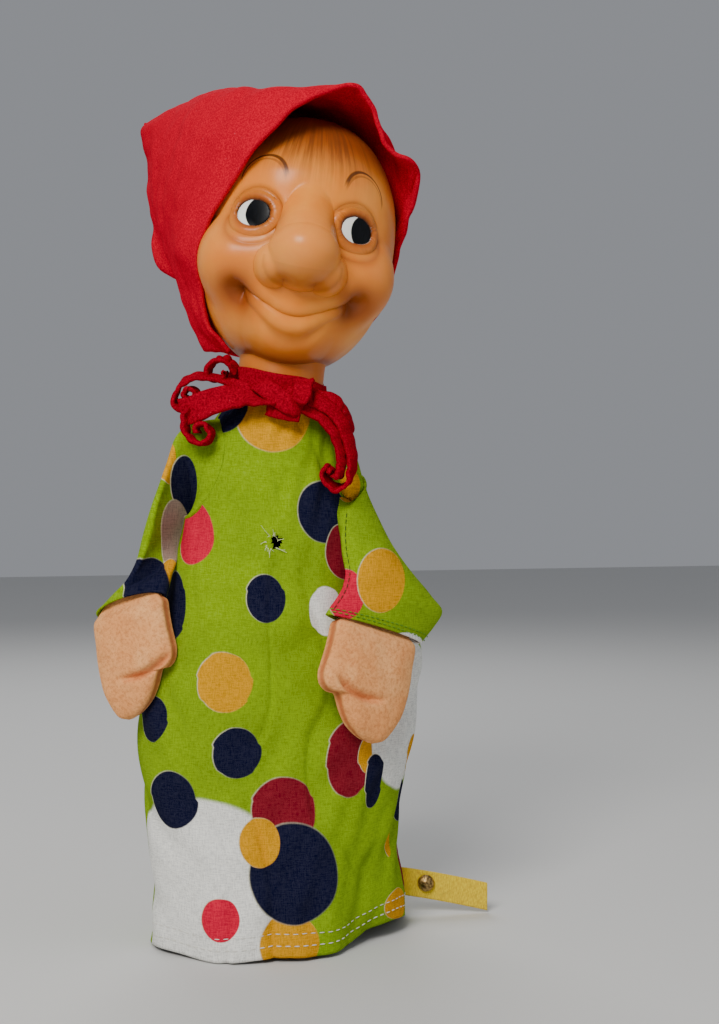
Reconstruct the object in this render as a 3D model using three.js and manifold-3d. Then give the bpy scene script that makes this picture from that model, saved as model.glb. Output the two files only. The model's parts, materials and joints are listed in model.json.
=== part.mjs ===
// A glove puppet: a hollow vinyl head under a felt kerchief, worn on a printed cotton dress with plush mitten hands.
// Millimetres, +Z up. The dress faces -Y, and the puppet's left hand is on the +X side.
// The hand goes in at the open hem: the index finger reaches up the neck tube, thumb and middle finger fill the sleeves.

import * as THREE from "three";
import { mergeVertices } from "three/addons/utils/BufferGeometryUtils.js";
import Module from "manifold-3d";

const wasm = await Module();
wasm.setup();

const rad = THREE.MathUtils.degToRad;
const V = (x, y, z) => new THREE.Vector3(x, y, z);

// ---- Driving dimensions ----

// Dress: each row is [height, half width, half depth] of the oval that the cloth follows.
const DRESS_OVALS = [
  [0, 50, 33],
  [20, 49.5, 32.5],
  [45, 49.5, 32],
  [70, 50.5, 32],
  [88, 48.5, 31.5],
  [106, 45, 30.5],
  [125, 39, 28.5],
  [145, 32.5, 26],
  [165, 27, 23],
  [185, 22.5, 20.5],
  [191, 21, 20.5],
];
const CLOTH = 1;
const HEM = { height: 12, thickness: 2 };
const ARMHOLE = { middle: 167.5, halfHeight: 17.5, halfWidth: 12 };
const PANEL_GAP = 0.6;

// Neck: the head nods where the dress ends, tilts inside the tie and turns on the finger tube.
const NECK = { radius: 14.7, bore: 12.3, bottom: 186, top: 214 };
const TILT_HEIGHT = 198;
const HEAD_TILT = 7;
const HEAD_TURN = -15;
const TUBE = { outer: 11.6, inner: 10.4, bottom: 184.5, top: 224 };

// Head: half width, half depth and half height of its rounded box, and the power that rounds it.
const HEAD = { centre: 250, width: 37, depth: 38, height: 45, power: 2.3, wall: 2.6 };

// Felt and plush
const FELT = 1.6;
const KERCHIEF_CLEARANCE = 0.6;
const PLUSH = 1.4;
const HAND_HALF_THICKNESS = 6;
const SLEEVE_HALF_THICKNESS = 7.8;
const SLEEVE_SEAM_GAP = 0.8;
const TIE_TURN = -22;

// ---- Building solids ----

// Turns a closed geometry into one solid, and back.
function toSolid(geometry, matrix = new THREE.Matrix4()) {
  const bare = new THREE.BufferGeometry();
  const source = geometry.index ? geometry.toNonIndexed() : geometry;
  bare.setAttribute("position", source.getAttribute("position").clone());
  bare.applyMatrix4(matrix);
  const merged = mergeVertices(bare, 1e-3);
  return new wasm.Manifold(
    new wasm.Mesh({
      numProp: 3,
      vertProperties: merged.attributes.position.array,
      triVerts: new Uint32Array(merged.index.array),
    }),
  );
}

function toGeometry(solid) {
  const mesh = solid.getMesh();
  const geometry = new THREE.BufferGeometry();
  geometry.setAttribute("position", new THREE.BufferAttribute(new Float32Array(mesh.vertProperties), 3));
  geometry.setIndex(new THREE.BufferAttribute(new Uint32Array(mesh.triVerts), 1));
  return geometry;
}

// The sheet's own direction out of the cloth at each grid point. A level sheet keeps it horizontal.
function sheetNormals(grid, level) {
  const rows = grid.length;
  const cols = grid[0].length;
  return grid.map((row, i) =>
    row.map((_, j) => {
      const along = grid[Math.min(i + 1, rows - 1)][j].clone().sub(grid[Math.max(i - 1, 0)][j]);
      const across = row[Math.min(j + 1, cols - 1)].clone().sub(row[Math.max(j - 1, 0)]);
      const normal = across.cross(along);
      if (level) normal.z = 0;
      return normal.normalize();
    }),
  );
}

// A closed sheet of cloth from a grid of points on its middle surface. thickness may depend on the row.
function sheet(grid, thickness, level = false) {
  const rows = grid.length;
  const cols = grid[0].length;
  const normals = sheetNormals(grid, level);
  const positions = [];
  for (const side of [0.5, -0.5])
    grid.forEach((row, i) =>
      row.forEach((point, j) => {
        const t = typeof thickness === "function" ? thickness(i) : thickness;
        positions.push(...point.clone().addScaledVector(normals[i][j], side * t).toArray());
      }),
    );
  const top = (i, j) => i * cols + j;
  const under = (i, j) => rows * cols + i * cols + j;
  const index = [];
  const quad = (a, b, c, d) => index.push(a, b, c, a, c, d);
  for (let i = 0; i < rows - 1; i++)
    for (let j = 0; j < cols - 1; j++) {
      quad(top(i, j), top(i, j + 1), top(i + 1, j + 1), top(i + 1, j));
      quad(under(i, j), under(i + 1, j), under(i + 1, j + 1), under(i, j + 1));
    }
  for (let j = 0; j < cols - 1; j++) {
    quad(top(0, j + 1), top(0, j), under(0, j), under(0, j + 1));
    quad(top(rows - 1, j), top(rows - 1, j + 1), under(rows - 1, j + 1), under(rows - 1, j));
  }
  for (let i = 0; i < rows - 1; i++) {
    quad(top(i, 0), top(i + 1, 0), under(i + 1, 0), under(i, 0));
    quad(top(i + 1, cols - 1), top(i, cols - 1), under(i, cols - 1), under(i + 1, cols - 1));
  }
  const geometry = new THREE.BufferGeometry();
  geometry.setAttribute("position", new THREE.Float32BufferAttribute(positions, 3));
  geometry.setIndex(index);
  return geometry;
}

// Evenly spaced values from low to high, both ends included.
const steps = (low, high, count) => Array.from({ length: count + 1 }, (_, k) => low + ((high - low) * k) / count);

// A smooth net through rows of points: each row is a curve, and curves through the rows cross them.
function smoothNet(rowsOfPoints, acrossCount, alongCount) {
  const curves = rowsOfPoints.map((points) => new THREE.CatmullRomCurve3(points.map((p) => V(...p))));
  const columns = steps(0, 1, acrossCount).map(
    (u) => new THREE.CatmullRomCurve3(curves.map((curve) => curve.getPoint(u))),
  );
  return steps(0, 1, alongCount).map((v) => columns.map((column) => column.getPoint(v)));
}

// A felt ribbon along a path, its width lying along one direction.
function ribbon(path, width, direction, divisions, thickness = FELT) {
  const curve = new THREE.CatmullRomCurve3(path.map((p) => V(...p)));
  const half = V(...direction).normalize().multiplyScalar(width / 2);
  return sheet(
    curve.getPoints(divisions).map((p) => [p.clone().sub(half), p.clone().add(half)]),
    thickness,
  );
}

const ring = (inner, outer, bottom, top, segments) =>
  new THREE.LatheGeometry(
    [
      new THREE.Vector2(inner, bottom),
      new THREE.Vector2(outer, bottom),
      new THREE.Vector2(outer, top),
      new THREE.Vector2(inner, top),
      new THREE.Vector2(inner, bottom),
    ],
    segments,
  ).rotateX(Math.PI / 2);

// ---- Materials ----

const cotton = new THREE.MeshStandardMaterial({ color: "#8fb31c", roughness: 0.9 });
const skin = new THREE.MeshStandardMaterial({ color: "#dda067", roughness: 0.45 });
const redFelt = new THREE.MeshStandardMaterial({ color: "#c8102e", roughness: 1 });
const plush = new THREE.MeshStandardMaterial({ color: "#dca277", roughness: 0.95 });
const card = new THREE.MeshStandardMaterial({ color: "#a98a62", roughness: 0.9 });
const thread = new THREE.MeshStandardMaterial({ color: "#e9e4d6", roughness: 0.9 });
const yellowTape = new THREE.MeshStandardMaterial({ color: "#e0c81c", roughness: 0.8 });
const brass = new THREE.MeshStandardMaterial({ color: "#8a7440", roughness: 0.4, metalness: 0.9 });

function part(name, geometry, material) {
  const mesh = new THREE.Mesh(geometry, material);
  mesh.name = name;
  return mesh;
}

// ---- Dress ----

// Half width and half depth of the dress at a height, between the rows of DRESS_OVALS.
function dressOval(z) {
  const k = Math.max(1, DRESS_OVALS.findIndex(([height]) => height >= z));
  const [z0, a0, b0] = DRESS_OVALS[k - 1];
  const [z1, a1, b1] = DRESS_OVALS[k];
  const t = (z - z0) / (z1 - z0);
  return [THREE.MathUtils.lerp(a0, a1, t), THREE.MathUtils.lerp(b0, b1, t)];
}

// How far the panel's side edge stays from the seam plane: the armhole is an oval cut across it.
function edgeInset(z) {
  const t = (z - ARMHOLE.middle) / ARMHOLE.halfHeight;
  const hole = Math.abs(t) < 1 ? ARMHOLE.halfWidth * Math.sqrt(1 - t * t) : 0;
  return PANEL_GAP / 2 + hole;
}

// One panel, from side seam to side seam. facing is -1 for the front and 1 for the back.
function dressPanel(facing) {
  const armholeRows = [0, 0.5, 2.5, 8, 17.5, 27, 32.5, 34.5, 35].map(
    (above) => ARMHOLE.middle - ARMHOLE.halfHeight + above,
  );
  const heights = [0, HEM.height - 1, HEM.height + 1, 32, 52, 70, 88, 106, 125, 140, ...armholeRows, 188, 191];
  const columns = 14;
  const grid = heights.map((z) => {
    const [a, b] = dressOval(z);
    const start = Math.asin(edgeInset(z) / b);
    return steps(start, Math.PI - start, columns).map((angle) =>
      V(a * Math.cos(angle) * -facing, b * Math.sin(angle) * facing, z),
    );
  });
  const thickness = (row) => (heights[row] < HEM.height ? HEM.thickness : CLOTH);
  return sheet(grid, thickness, true);
}

// The cloth drawn in from the panels' top edge and up round the neck, under the tie.
function neckGather() {
  const profile = [
    [16.2, 192.8],
    [19.9, 191.5],
    [20.5, 192.2],
    [16.9, 193.4],
    [16.9, 204],
    [16.2, 204],
    [16.2, 192.8],
  ];
  return new THREE.LatheGeometry(profile.map(([r, z]) => new THREE.Vector2(r, z)), 32).rotateX(Math.PI / 2);
}

// ---- Sleeves and hands ----

// Each edge runs from the armhole to the wrist. The sleeve is a flattened tube between the two.
const SLEEVES = {
  right: {
    outer: [[-26.5, 0, 183.5], [-42, 0, 172], [-57, 3, 147], [-69, 8, 118]],
    inner: [[-29.5, 0, 153], [-38, -6, 146], [-43, -12, 136], [-45, -16, 124]],
    tip: [-59, -4, 79.5],
  },
  left: {
    outer: [[26.5, 0, 183.5], [39, -3, 170], [54, -17, 134], [41, -32, 108]],
    inner: [[29.5, 0, 153], [37, -10, 149], [29, -30, 139], [6, -38.5, 118]],
    tip: [20, -39, 73.5],
  },
};

// The sleeve's middle line, half width and flat side's direction, at a share of its length.
function sleeveSection({ outer, inner }, share) {
  const outerCurve = new THREE.CatmullRomCurve3(outer.map((p) => V(...p)));
  const innerCurve = new THREE.CatmullRomCurve3(inner.map((p) => V(...p)));
  const middle = (t) => outerCurve.getPoint(t).add(innerCurve.getPoint(t)).multiplyScalar(0.5);
  const half = outerCurve.getPoint(share).sub(innerCurve.getPoint(share)).multiplyScalar(0.5);
  const small = 0.01;
  const along = middle(Math.min(1, share + small)).sub(middle(Math.max(0, share - small)));
  const flat = half.clone().cross(along).normalize();
  if (flat.y > 0) flat.negate();
  return { centre: middle(share), half, flat };
}

// Front or back half of a sleeve. facing is 1 for the front half, on the flat side's own side.
function sleeveHalf(edges, facing) {
  const seamLift = Math.asin(SLEEVE_SEAM_GAP / 2 / SLEEVE_HALF_THICKNESS);
  const grid = steps(0, 1, 7).map((share) => {
    const { centre, half, flat } = sleeveSection(edges, share);
    return steps(seamLift, Math.PI - seamLift, 10).map((angle) =>
      centre
        .clone()
        .addScaledVector(half, Math.cos(angle))
        .addScaledVector(flat, facing * SLEEVE_HALF_THICKNESS * Math.sin(angle)),
    );
  });
  return sheet(grid, CLOTH);
}

// Mitten outline from inside the sleeve to the fingertips, as [thumb side, outer side, fullness]. Each side is
// [across, down], measured from the wrist's middle along the wrist line and down the hand.
const MITTEN = [
  [[-14.2, -2.6], [14.2, -2.6], 1],
  [[-14.6, 1], [14.6, 1], 1],
  [[-18.7, 11.2], [13.9, 8.1], 1],
  [[-21.3, 18.2], [13.1, 13.7], 1],
  [[-22.4, 23], [11.7, 19.2], 0.95],
  [[-19.8, 25.4], [10.2, 22.7], 0.92],
  [[-15.6, 26], [8.5, 26.7], 0.9],
  [[-13.9, 29], [7, 29.9], 0.8],
  [[-12, 33], [4.9, 33.6], 0.6],
  [[-7.2, 36.4], [2.6, 36], 0.35],
  [[-3.9, 37.8], [-0.6, 37.8], 0],
];

// The hand hangs from the wrist line towards its tip, with its flat side like the sleeve's.
function handFrame(edges) {
  const { centre, half, flat } = sleeveSection(edges, 1);
  const down = V(...edges.tip).sub(centre).normalize();
  const across = half.clone().normalize();
  const face = across.clone().cross(down).normalize();
  if (face.dot(flat) < 0) face.negate();
  return { centre, down, across, face };
}

// One plush half of a mitten. facing is 1 for the back of the hand, which shows, and -1 for the palm.
function handHalf(edges, facing) {
  const { centre, down, across, face } = handFrame(edges);
  const flatLift = PLUSH / 2 + 0.3;
  const seamLift = 0.6;
  const grid = MITTEN.map(([thumb, outer, fullness]) => {
    const lift = THREE.MathUtils.lerp(flatLift, seamLift, fullness);
    const bulge = (HAND_HALF_THICKNESS - PLUSH / 2 - lift) * fullness;
    return steps(0, Math.PI, 8).map((angle) => {
      const mix = (1 - Math.cos(angle)) / 2;
      return centre
        .clone()
        .addScaledVector(across, THREE.MathUtils.lerp(thumb[0], outer[0], mix))
        .addScaledVector(down, THREE.MathUtils.lerp(thumb[1], outer[1], mix))
        .addScaledVector(face, facing * (lift + bulge * Math.sin(angle)));
    });
  });
  return sheet(grid, PLUSH);
}

// ---- Head ----

// Features stand out from the rounded box: [turn from the front, lift, height, spread across, spread up], in degrees.
const FACE_BUMPS = [
  [0, -15, 12, 13, 9],
  [-13, -19, 4, 8, 7],
  [13, -19, 4, 8, 7],
  [-42, -24, 2.5, 18, 15],
  [42, -24, 2.5, 18, 15],
  [-27, 5, -2, 11, 9],
  [27, 5, -2, 11, 9],
  [0, -34, 1.5, 16, 7],
  [0, -58, 2, 14, 12],
];

// The head's radius in a direction, with the face's bumps or without.
function headRadius(direction, inflate, withFace) {
  const { width, depth, height, power } = HEAD;
  const sum =
    (Math.abs(direction.x) / (width + inflate)) ** power +
    (Math.abs(direction.y) / (depth + inflate)) ** power +
    (Math.abs(direction.z) / (height + inflate)) ** power;
  let radius = sum ** (-1 / power);
  if (!withFace) return radius;
  const turn = THREE.MathUtils.radToDeg(Math.atan2(direction.x, -direction.y));
  const lift = THREE.MathUtils.radToDeg(Math.asin(direction.z));
  for (const [t, l, amount, across, up] of FACE_BUMPS)
    radius += amount * Math.exp(-(((turn - t) / across) ** 2 + ((lift - l) / up) ** 2) / 2);
  return radius;
}

function headForm(inflate, withFace, around, upward) {
  const form = new THREE.SphereGeometry(1, around, upward).rotateX(Math.PI / 2);
  const at = form.attributes.position;
  const point = new THREE.Vector3();
  for (let k = 0; k < at.count; k++) {
    point.fromBufferAttribute(at, k).normalize();
    point.multiplyScalar(headRadius(point, inflate, withFace));
    at.setXYZ(k, point.x, point.y, point.z);
  }
  const turned = new THREE.Matrix4().makeRotationZ(rad(HEAD_TURN));
  turned.setPosition(0, 0, HEAD.centre);
  return toSolid(form, turned);
}

function neckSolid(radius, bottom, top) {
  const cylinder = new THREE.CylinderGeometry(radius, radius, top - bottom, 32).rotateX(Math.PI / 2);
  return toSolid(cylinder, new THREE.Matrix4().makeTranslation(0, 0, (top + bottom) / 2));
}

// Hollow vinyl head: the outer form and neck, less the inner form and the neck's bore.
function headShell() {
  const outer = headForm(0, true, 40, 28).add(neckSolid(NECK.radius, NECK.bottom, NECK.top));
  const inner = headForm(-HEAD.wall, false, 20, 14).add(neckSolid(NECK.bore, NECK.bottom - 2, NECK.top));
  return toGeometry(outer.subtract(inner));
}

// ---- Kerchief ----

// Ribs of the kerchief from its front edge to its back fold. Each rib runs from the right jaw over the top to the left.
const KERCHIEF_RIBS = [
  [[-18.5, 5, 208], [-32, 5, 221], [-42, -3, 238], [-41.5, -16, 256], [-34, -28, 273], [-19, -35, 290],
    [0, -36, 301], [9, -33, 298], [18, -30, 287], [31, -28, 273], [38, -12, 252], [33, 5, 223], [18.5, 5, 208]],
  [[-26, 13, 209], [-37, 13, 223], [-44, 9, 240], [-44.5, -2, 258], [-40, -13, 277], [-27, -19, 293],
    [-8, -20, 303], [10, -18, 300], [24, -17, 288], [35, -12, 272], [41, 4, 250], [37, 13, 224], [25, 13, 209]],
  [[-24, 25, 211], [-36, 24, 226], [-43.5, 22, 243], [-46, 15, 260], [-44, 6, 278], [-34, 3, 294],
    [-15, 4, 304.5], [4, 5, 302], [21, 6, 291], [34, 10, 273], [41, 18, 250], [35, 25, 226], [22, 25, 211]],
  [[-12, 33, 212], [-27, 34, 227], [-40, 35, 244], [-46, 31, 262], [-47, 25, 279], [-42, 22, 294],
    [-25, 27, 303], [-5, 27, 301], [13, 28, 290], [25, 29, 272], [31, 33, 250], [25, 35, 227], [11, 33, 212]],
  [[-2, 36, 212], [-10, 43, 228], [-31, 47, 242], [-44, 45, 262], [-48, 43, 279], [-47, 42, 292],
    [-38, 45, 299], [-27, 46, 295], [-14, 44, 284], [-5, 44, 265], [4, 45, 246], [6, 43, 229], [2, 36, 212]],
  [[0, 41, 221], [-11, 51, 236], [-36, 56, 243], [-42.6, 58.4, 262], [-46.6, 60.6, 278], [-48.6, 61.4, 289],
    [-48.2, 62, 292.6], [-47.6, 61.6, 289], [-45.6, 60.8, 278], [-41.6, 58.6, 262], [-35, 56.4, 244.4],
    [-10, 51.4, 237], [1, 41.4, 222]],
];

// Pushes a point of the felt's middle surface out of the head.
function drape(point) {
  const stem = point.clone().setZ(point.z - HEAD.centre).applyAxisAngle(V(0, 0, 1), -rad(HEAD_TURN));
  const least = headRadius(stem.clone().normalize(), KERCHIEF_CLEARANCE + FELT / 2 + 0.2, true);
  const push = Math.max(1, least / stem.length());
  return V(point.x * push, point.y * push, HEAD.centre + (point.z - HEAD.centre) * push);
}

function kerchief() {
  const net = smoothNet(KERCHIEF_RIBS, 24, 12).map((row) => row.map(drape));
  return toGeometry(
    toSolid(sheet(net, FELT))
      .subtract(headForm(KERCHIEF_CLEARANCE, true, 40, 28))
      .decompose()
      .sort((a, b) => b.volume() - a.volume())[0],
  );
}

// ---- Neck tie: a felt band knotted at the front, with loops and curled tails ----

const TIE_BAND = { inner: 17.3, outer: 18.7, bottom: 195, top: 203 };
const DEPTH = [0, 1, 0];

// Each strip: [name, width, path]. In the tie's own frame the knot is at -Y.
const TIE_STRIPS = [
  ["tie_curl_right", 6, [[-17, -14.6, 201], [-18, -15, 205.2], [-21.3, -15, 207], [-24.6, -15, 204.8], [-24.2, -15, 201.8],
    [-21.2, -15, 202.3]]],
  ["tie_loop_right", 6, [[-14, -21.5, 197.6], [-20, -20, 198.2], [-27, -19, 199], [-33.5, -18.5, 197.5], [-37, -18, 193],
    [-35.5, -18, 189.6], [-31.5, -18, 190], [-30, -18, 193], [-32.5, -18, 194.6]]],
  ["tie_tail_right", 5, [[-29, -22.5, 187], [-34, -22.5, 186.4], [-35, -22.5, 182.6], [-32.5, -22.5, 179], [-28.5, -22.5, 177.6],
    [-25.6, -22.5, 179.6], [-26.4, -22.5, 182.6], [-29, -22.5, 181.4]]],
  ["tie_loop_left", 6, [[9, -20, 195.6], [14, -18.5, 196], [20, -16, 194.6], [24, -14, 190], [25, -13, 184], [24, -13, 179.6]]],
  ["tie_tail_left_inner", 4, [[8.6, -23, 188.6], [13, -22.5, 184.4], [17.4, -22, 179], [20.2, -22, 172], [20.4, -22, 166.6],
    [18, -22, 163.4], [15, -22, 165], [15.6, -22, 168], [17.4, -22, 167.6]]],
  ["tie_tail_left_outer", 4, [[10.4, -21.5, 191.2], [17, -20, 187], [22, -19, 179], [24.4, -19, 170], [24, -19, 163.6],
    [21.4, -20, 159.8], [17.6, -20.6, 159.8]]],
];

// Two strips with their width upright: the broad one crosses the front from the knot to the right, and a short end
// hangs under the knot.
const TIE_FRONT = [[-4.6, -22.6, 191.6], [-10, -23, 191], [-18, -22.6, 190.4], [-26, -21.6, 190]];
const TIE_END = [[-4, -23.6, 184.6], [0, -24.6, 183.6], [4, -25.2, 182.8], [7.6, -25, 182]];

function tieKnot() {
  const knot = new THREE.SphereGeometry(1, 16, 12).scale(4.6, 2.5, 5);
  return knot.translate(1, -25, 191.4);
}

// ---- Side label: a folded woven tape, riveted near the seam ----

const LABEL = { seam: [52.2, 0, 11.5], turn: -20, length: 36, height: 10.5, thickness: 0.8, rivetFromSeam: 6.5 };

function sideLabel() {
  const { length, height, thickness, rivetFromSeam } = LABEL;
  const tape = new THREE.BoxGeometry(length, thickness, height).translate(length / 2, 0, 0);
  const hole = new THREE.CylinderGeometry(1.3, 1.3, 4, 16).translate(rivetFromSeam, 0, 0);
  return toGeometry(toSolid(tape).subtract(toSolid(hole)));
}

// Domed rivet cap with its shank, turning about the Y axis.
function labelRivet() {
  const profile = [[0, -3.4], [1, -3.2], [2.6, -2.2], [3.2, -0.8], [1, -0.8], [1, 1.6], [0, 1.6]];
  return new THREE.LatheGeometry(profile.map(([r, y]) => new THREE.Vector2(r, y)), 20);
}

function rivetWasher() {
  return ring(1.3, 2.8, 0, 0.7, 20).rotateX(-Math.PI / 2);
}

// ---- Assembly ----

const dress = new THREE.Group();
dress.add(
  part("dress_front", dressPanel(-1), cotton),
  part("dress_back", dressPanel(1), cotton),
);

const arms = new THREE.Group();
for (const [side, edges] of Object.entries(SLEEVES))
  arms.add(
    part(side + "_sleeve_front", sleeveHalf(edges, 1), cotton),
    part(side + "_sleeve_back", sleeveHalf(edges, -1), cotton),
    part(side + "_hand_back", handHalf(edges, 1), plush),
    part(side + "_hand_palm", handHalf(edges, -1), plush),
  );

// The tie is knotted a little to the puppet's right of the dress's front.
const tie = new THREE.Group();
tie.rotation.z = rad(TIE_TURN);
tie.add(
  part("dress_neck_gather", neckGather(), cotton),
  part("neck_cord", new THREE.TorusGeometry(17.7, 0.5, 8, 36).translate(0, 0, 194.2), thread),
  part("tie_band", ring(TIE_BAND.inner, TIE_BAND.outer, TIE_BAND.bottom, TIE_BAND.top, 36), redFelt),
  part("tie_knot", tieKnot(), redFelt),
  part("tie_front_strip", ribbon(TIE_FRONT, 5, [0, 0, 1], 10), redFelt),
  part("tie_short_end", ribbon(TIE_END, 3.4, [0, 0, 1], 8), redFelt),
);
for (const [name, width, path] of TIE_STRIPS) tie.add(part(name, ribbon(path, width, DEPTH, 4 * path.length), redFelt));

// Everything on the neck leans with it about the middle of the tie.
const neck = new THREE.Group();
neck.position.z = TILT_HEIGHT;
neck.rotation.y = rad(HEAD_TILT);
const onNeck = new THREE.Group();
onNeck.position.z = -TILT_HEIGHT;
neck.add(onNeck);
onNeck.add(
  part("finger_tube", ring(TUBE.inner, TUBE.outer, TUBE.bottom, TUBE.top, 32), card),
  part("head_shell", headShell(), skin),
  part("kerchief", kerchief(), redFelt),
);

const label = new THREE.Group();
label.position.set(...LABEL.seam);
label.rotation.z = rad(LABEL.turn);
label.add(part("side_label", sideLabel(), yellowTape));
const rivet = part("label_rivet", labelRivet(), brass);
rivet.position.x = LABEL.rivetFromSeam;
const washer = part("rivet_washer", rivetWasher(), brass);
washer.position.set(LABEL.rivetFromSeam, LABEL.thickness / 2 + 0.3, 0);
label.add(rivet, washer);

const puppet = new THREE.Group();
puppet.add(dress, arms, tie, neck, label);

// The origin is the bottom middle of the whole puppet's box.
const box = new THREE.Box3().setFromObject(puppet, true);
const middle = box.getCenter(new THREE.Vector3());
puppet.position.set(-middle.x, -middle.y, -box.min.z);

export default puppet;
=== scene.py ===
"""A glove puppet: painted vinyl head, felt kerchief and tie, printed cotton dress, plush mitten hands."""

import json
import math

import bmesh
import bpy
import numpy as np
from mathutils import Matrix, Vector


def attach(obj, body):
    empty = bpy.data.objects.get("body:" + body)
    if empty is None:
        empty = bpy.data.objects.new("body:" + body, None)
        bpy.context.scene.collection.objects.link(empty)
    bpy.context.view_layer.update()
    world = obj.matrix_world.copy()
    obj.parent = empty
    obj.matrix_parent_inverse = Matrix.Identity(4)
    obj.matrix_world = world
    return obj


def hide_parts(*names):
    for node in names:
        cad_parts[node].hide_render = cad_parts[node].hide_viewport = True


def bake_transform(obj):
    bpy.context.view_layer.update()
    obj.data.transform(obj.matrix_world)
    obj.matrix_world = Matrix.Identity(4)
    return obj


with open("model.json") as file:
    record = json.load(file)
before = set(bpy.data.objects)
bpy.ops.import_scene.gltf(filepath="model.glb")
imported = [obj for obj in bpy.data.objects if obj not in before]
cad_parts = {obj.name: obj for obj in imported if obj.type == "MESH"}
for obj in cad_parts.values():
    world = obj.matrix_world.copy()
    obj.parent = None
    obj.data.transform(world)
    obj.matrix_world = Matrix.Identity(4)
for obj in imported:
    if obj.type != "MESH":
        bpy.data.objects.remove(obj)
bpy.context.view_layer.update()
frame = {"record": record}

JOINTS = {joint["name"]: joint for joint in frame["record"]["behaviour"]["joints"]}

# Lengths below are millimetres from the puppet's upright axis and the plane of its hem.
AXIS = np.array([JOINTS["head_nod"]["pos_m"][0], JOINTS["head_nod"]["pos_m"][1], 0.0])
TILT_HEIGHT = JOINTS["head_tilt"]["pos_m"][2] * 1000
NECK_AXIS = JOINTS["head_turn"]["axis"]
HEAD_TILT = math.atan2(NECK_AXIS[0], NECK_AXIS[2])
HEAD_TURN = math.radians(-15.5)
HEAD_LEAN = math.radians(2)
HEAD_CENTRE = 250.0
HEAD_SIZE = np.array([33.2, 36.8, 44.5])
HEAD_POWER = 2.2

# Height, half width on the puppet's right, half width on its left, half depth.
DRESS_OVALS = np.array(
    [
        [0, 47.5, 48, 33],
        [12, 46.5, 46.5, 33],
        [25, 46.5, 45, 32.5],
        [45, 48, 47, 32],
        [70, 51, 52, 32],
        [88, 50, 55, 31.5],
        [100, 47.5, 55, 31],
        [110, 45, 51, 30],
        [125, 41, 43.5, 28.5],
        [145, 35.5, 34.5, 26],
        [165, 31, 28, 23.5],
        [178, 27, 24.5, 21.5],
        [186, 22.5, 22, 20.5],
        [190, 18.4, 18.4, 18.4],
        [196, 16.2, 16.2, 16.2],
    ]
)
NECK_TOP = 196
VIEW = math.radians(-22)
CAMERA = (-175.2, -513.1, 152)

THICKNESS = {"dress": 0.8, "sleeve": 0.7, "vinyl": 1.9, "kerchief": 1.6, "tie": 1.4, "label": 0.9}


# ---- Geometry ----


def to_world(points):
    return np.asarray(points, float) / 1000 + AXIS


def place(x, y, z):
    return tuple(to_world([x, y, z]))


def lean(points):
    """Neck frame to upright frame: the neck leans sideways about the middle of the tie."""
    p = np.array(points, float)
    x, z = p[..., 0].copy(), p[..., 2] - TILT_HEIGHT
    p[..., 0] = x * math.cos(HEAD_TILT) + z * math.sin(HEAD_TILT)
    p[..., 2] = TILT_HEIGHT - x * math.sin(HEAD_TILT) + z * math.cos(HEAD_TILT)
    return p


def lean_head(points):
    """The head leans a little further than the neck, about a point in its lower half."""
    p = np.array(points, float)
    share = smooth_step(p[..., 2], 206, 226) * HEAD_LEAN
    x, z = p[..., 0].copy(), p[..., 2] - 232
    p[..., 0] = x * np.cos(share) + z * np.sin(share) + 0.6
    p[..., 2] = 232 - x * np.sin(share) + z * np.cos(share)
    return lean(p)


def turn(points, angle):
    """Turns points about the upright axis."""
    p = np.array(points, float)
    x, y = p[..., 0].copy(), p[..., 1].copy()
    p[..., 0] = x * math.cos(angle) - y * math.sin(angle)
    p[..., 1] = x * math.sin(angle) + y * math.cos(angle)
    return p


def spline(points, count):
    """A Catmull-Rom curve through the rows of an array, sampled at count evenly spaced parameters."""
    p = np.asarray(points, float)
    first, last = 2 * p[0] - p[1], 2 * p[-1] - p[-2]
    padded = np.concatenate([first[None], p, last[None]])
    t = np.linspace(0, len(p) - 1, count)
    k = np.minimum(t.astype(int), len(p) - 2)
    f = (t - k).reshape((-1,) + (1,) * (p.ndim - 1))
    a, b, c, d = padded[k], padded[k + 1], padded[k + 2], padded[k + 3]
    return 0.5 * (
        2 * b + (c - a) * f + (2 * a - 5 * b + 4 * c - d) * f**2 + (3 * b - a - 3 * c + d) * f**3
    )


def smooth_step(value, low, high):
    t = np.clip((value - low) / (high - low), 0, 1)
    return t * t * (3 - 2 * t)


def bell(value, width):
    return np.exp(-((value / width) ** 2))


def ripples(u, v, wavelength, seed, waves=14, across=1.0, along=1.0):
    """Smooth noise of about unit height: a sum of waves in random directions."""
    rng = np.random.default_rng(seed)
    total = np.zeros(np.broadcast(u, v).shape)
    for _ in range(waves):
        angle, phase = rng.uniform(0, 2 * math.pi, 2)
        k = 2 * math.pi / (wavelength * rng.uniform(0.6, 1.6))
        total += np.sin(k * (across * math.cos(angle) * u + along * math.sin(angle) * v) + phase)
    return total / math.sqrt(waves)


def grid_normals(points):
    along = np.gradient(points, axis=0)
    across = np.gradient(points, axis=1)
    normal = np.cross(across, along)
    return normal / np.maximum(np.linalg.norm(normal, axis=-1, keepdims=True), 1e-9)


def mesh_object(name, points, faces, smooth=True):
    """A mesh object from points in millimetres."""
    mesh = bpy.data.meshes.new(name)
    mesh.from_pydata(to_world(points).reshape(-1, 3).tolist(), [], faces)
    if smooth:
        mesh.polygons.foreach_set("use_smooth", np.ones(len(mesh.polygons), bool))
    obj = bpy.data.objects.new(name, mesh)
    bpy.context.collection.objects.link(obj)
    return obj


def quads(i, j, width, next_j):
    """Corners of a grid's faces, where a row of the grid is width points long."""
    return np.stack([i * width + j, i * width + next_j, (i + 1) * width + next_j, (i + 1) * width + j], 1)


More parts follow.
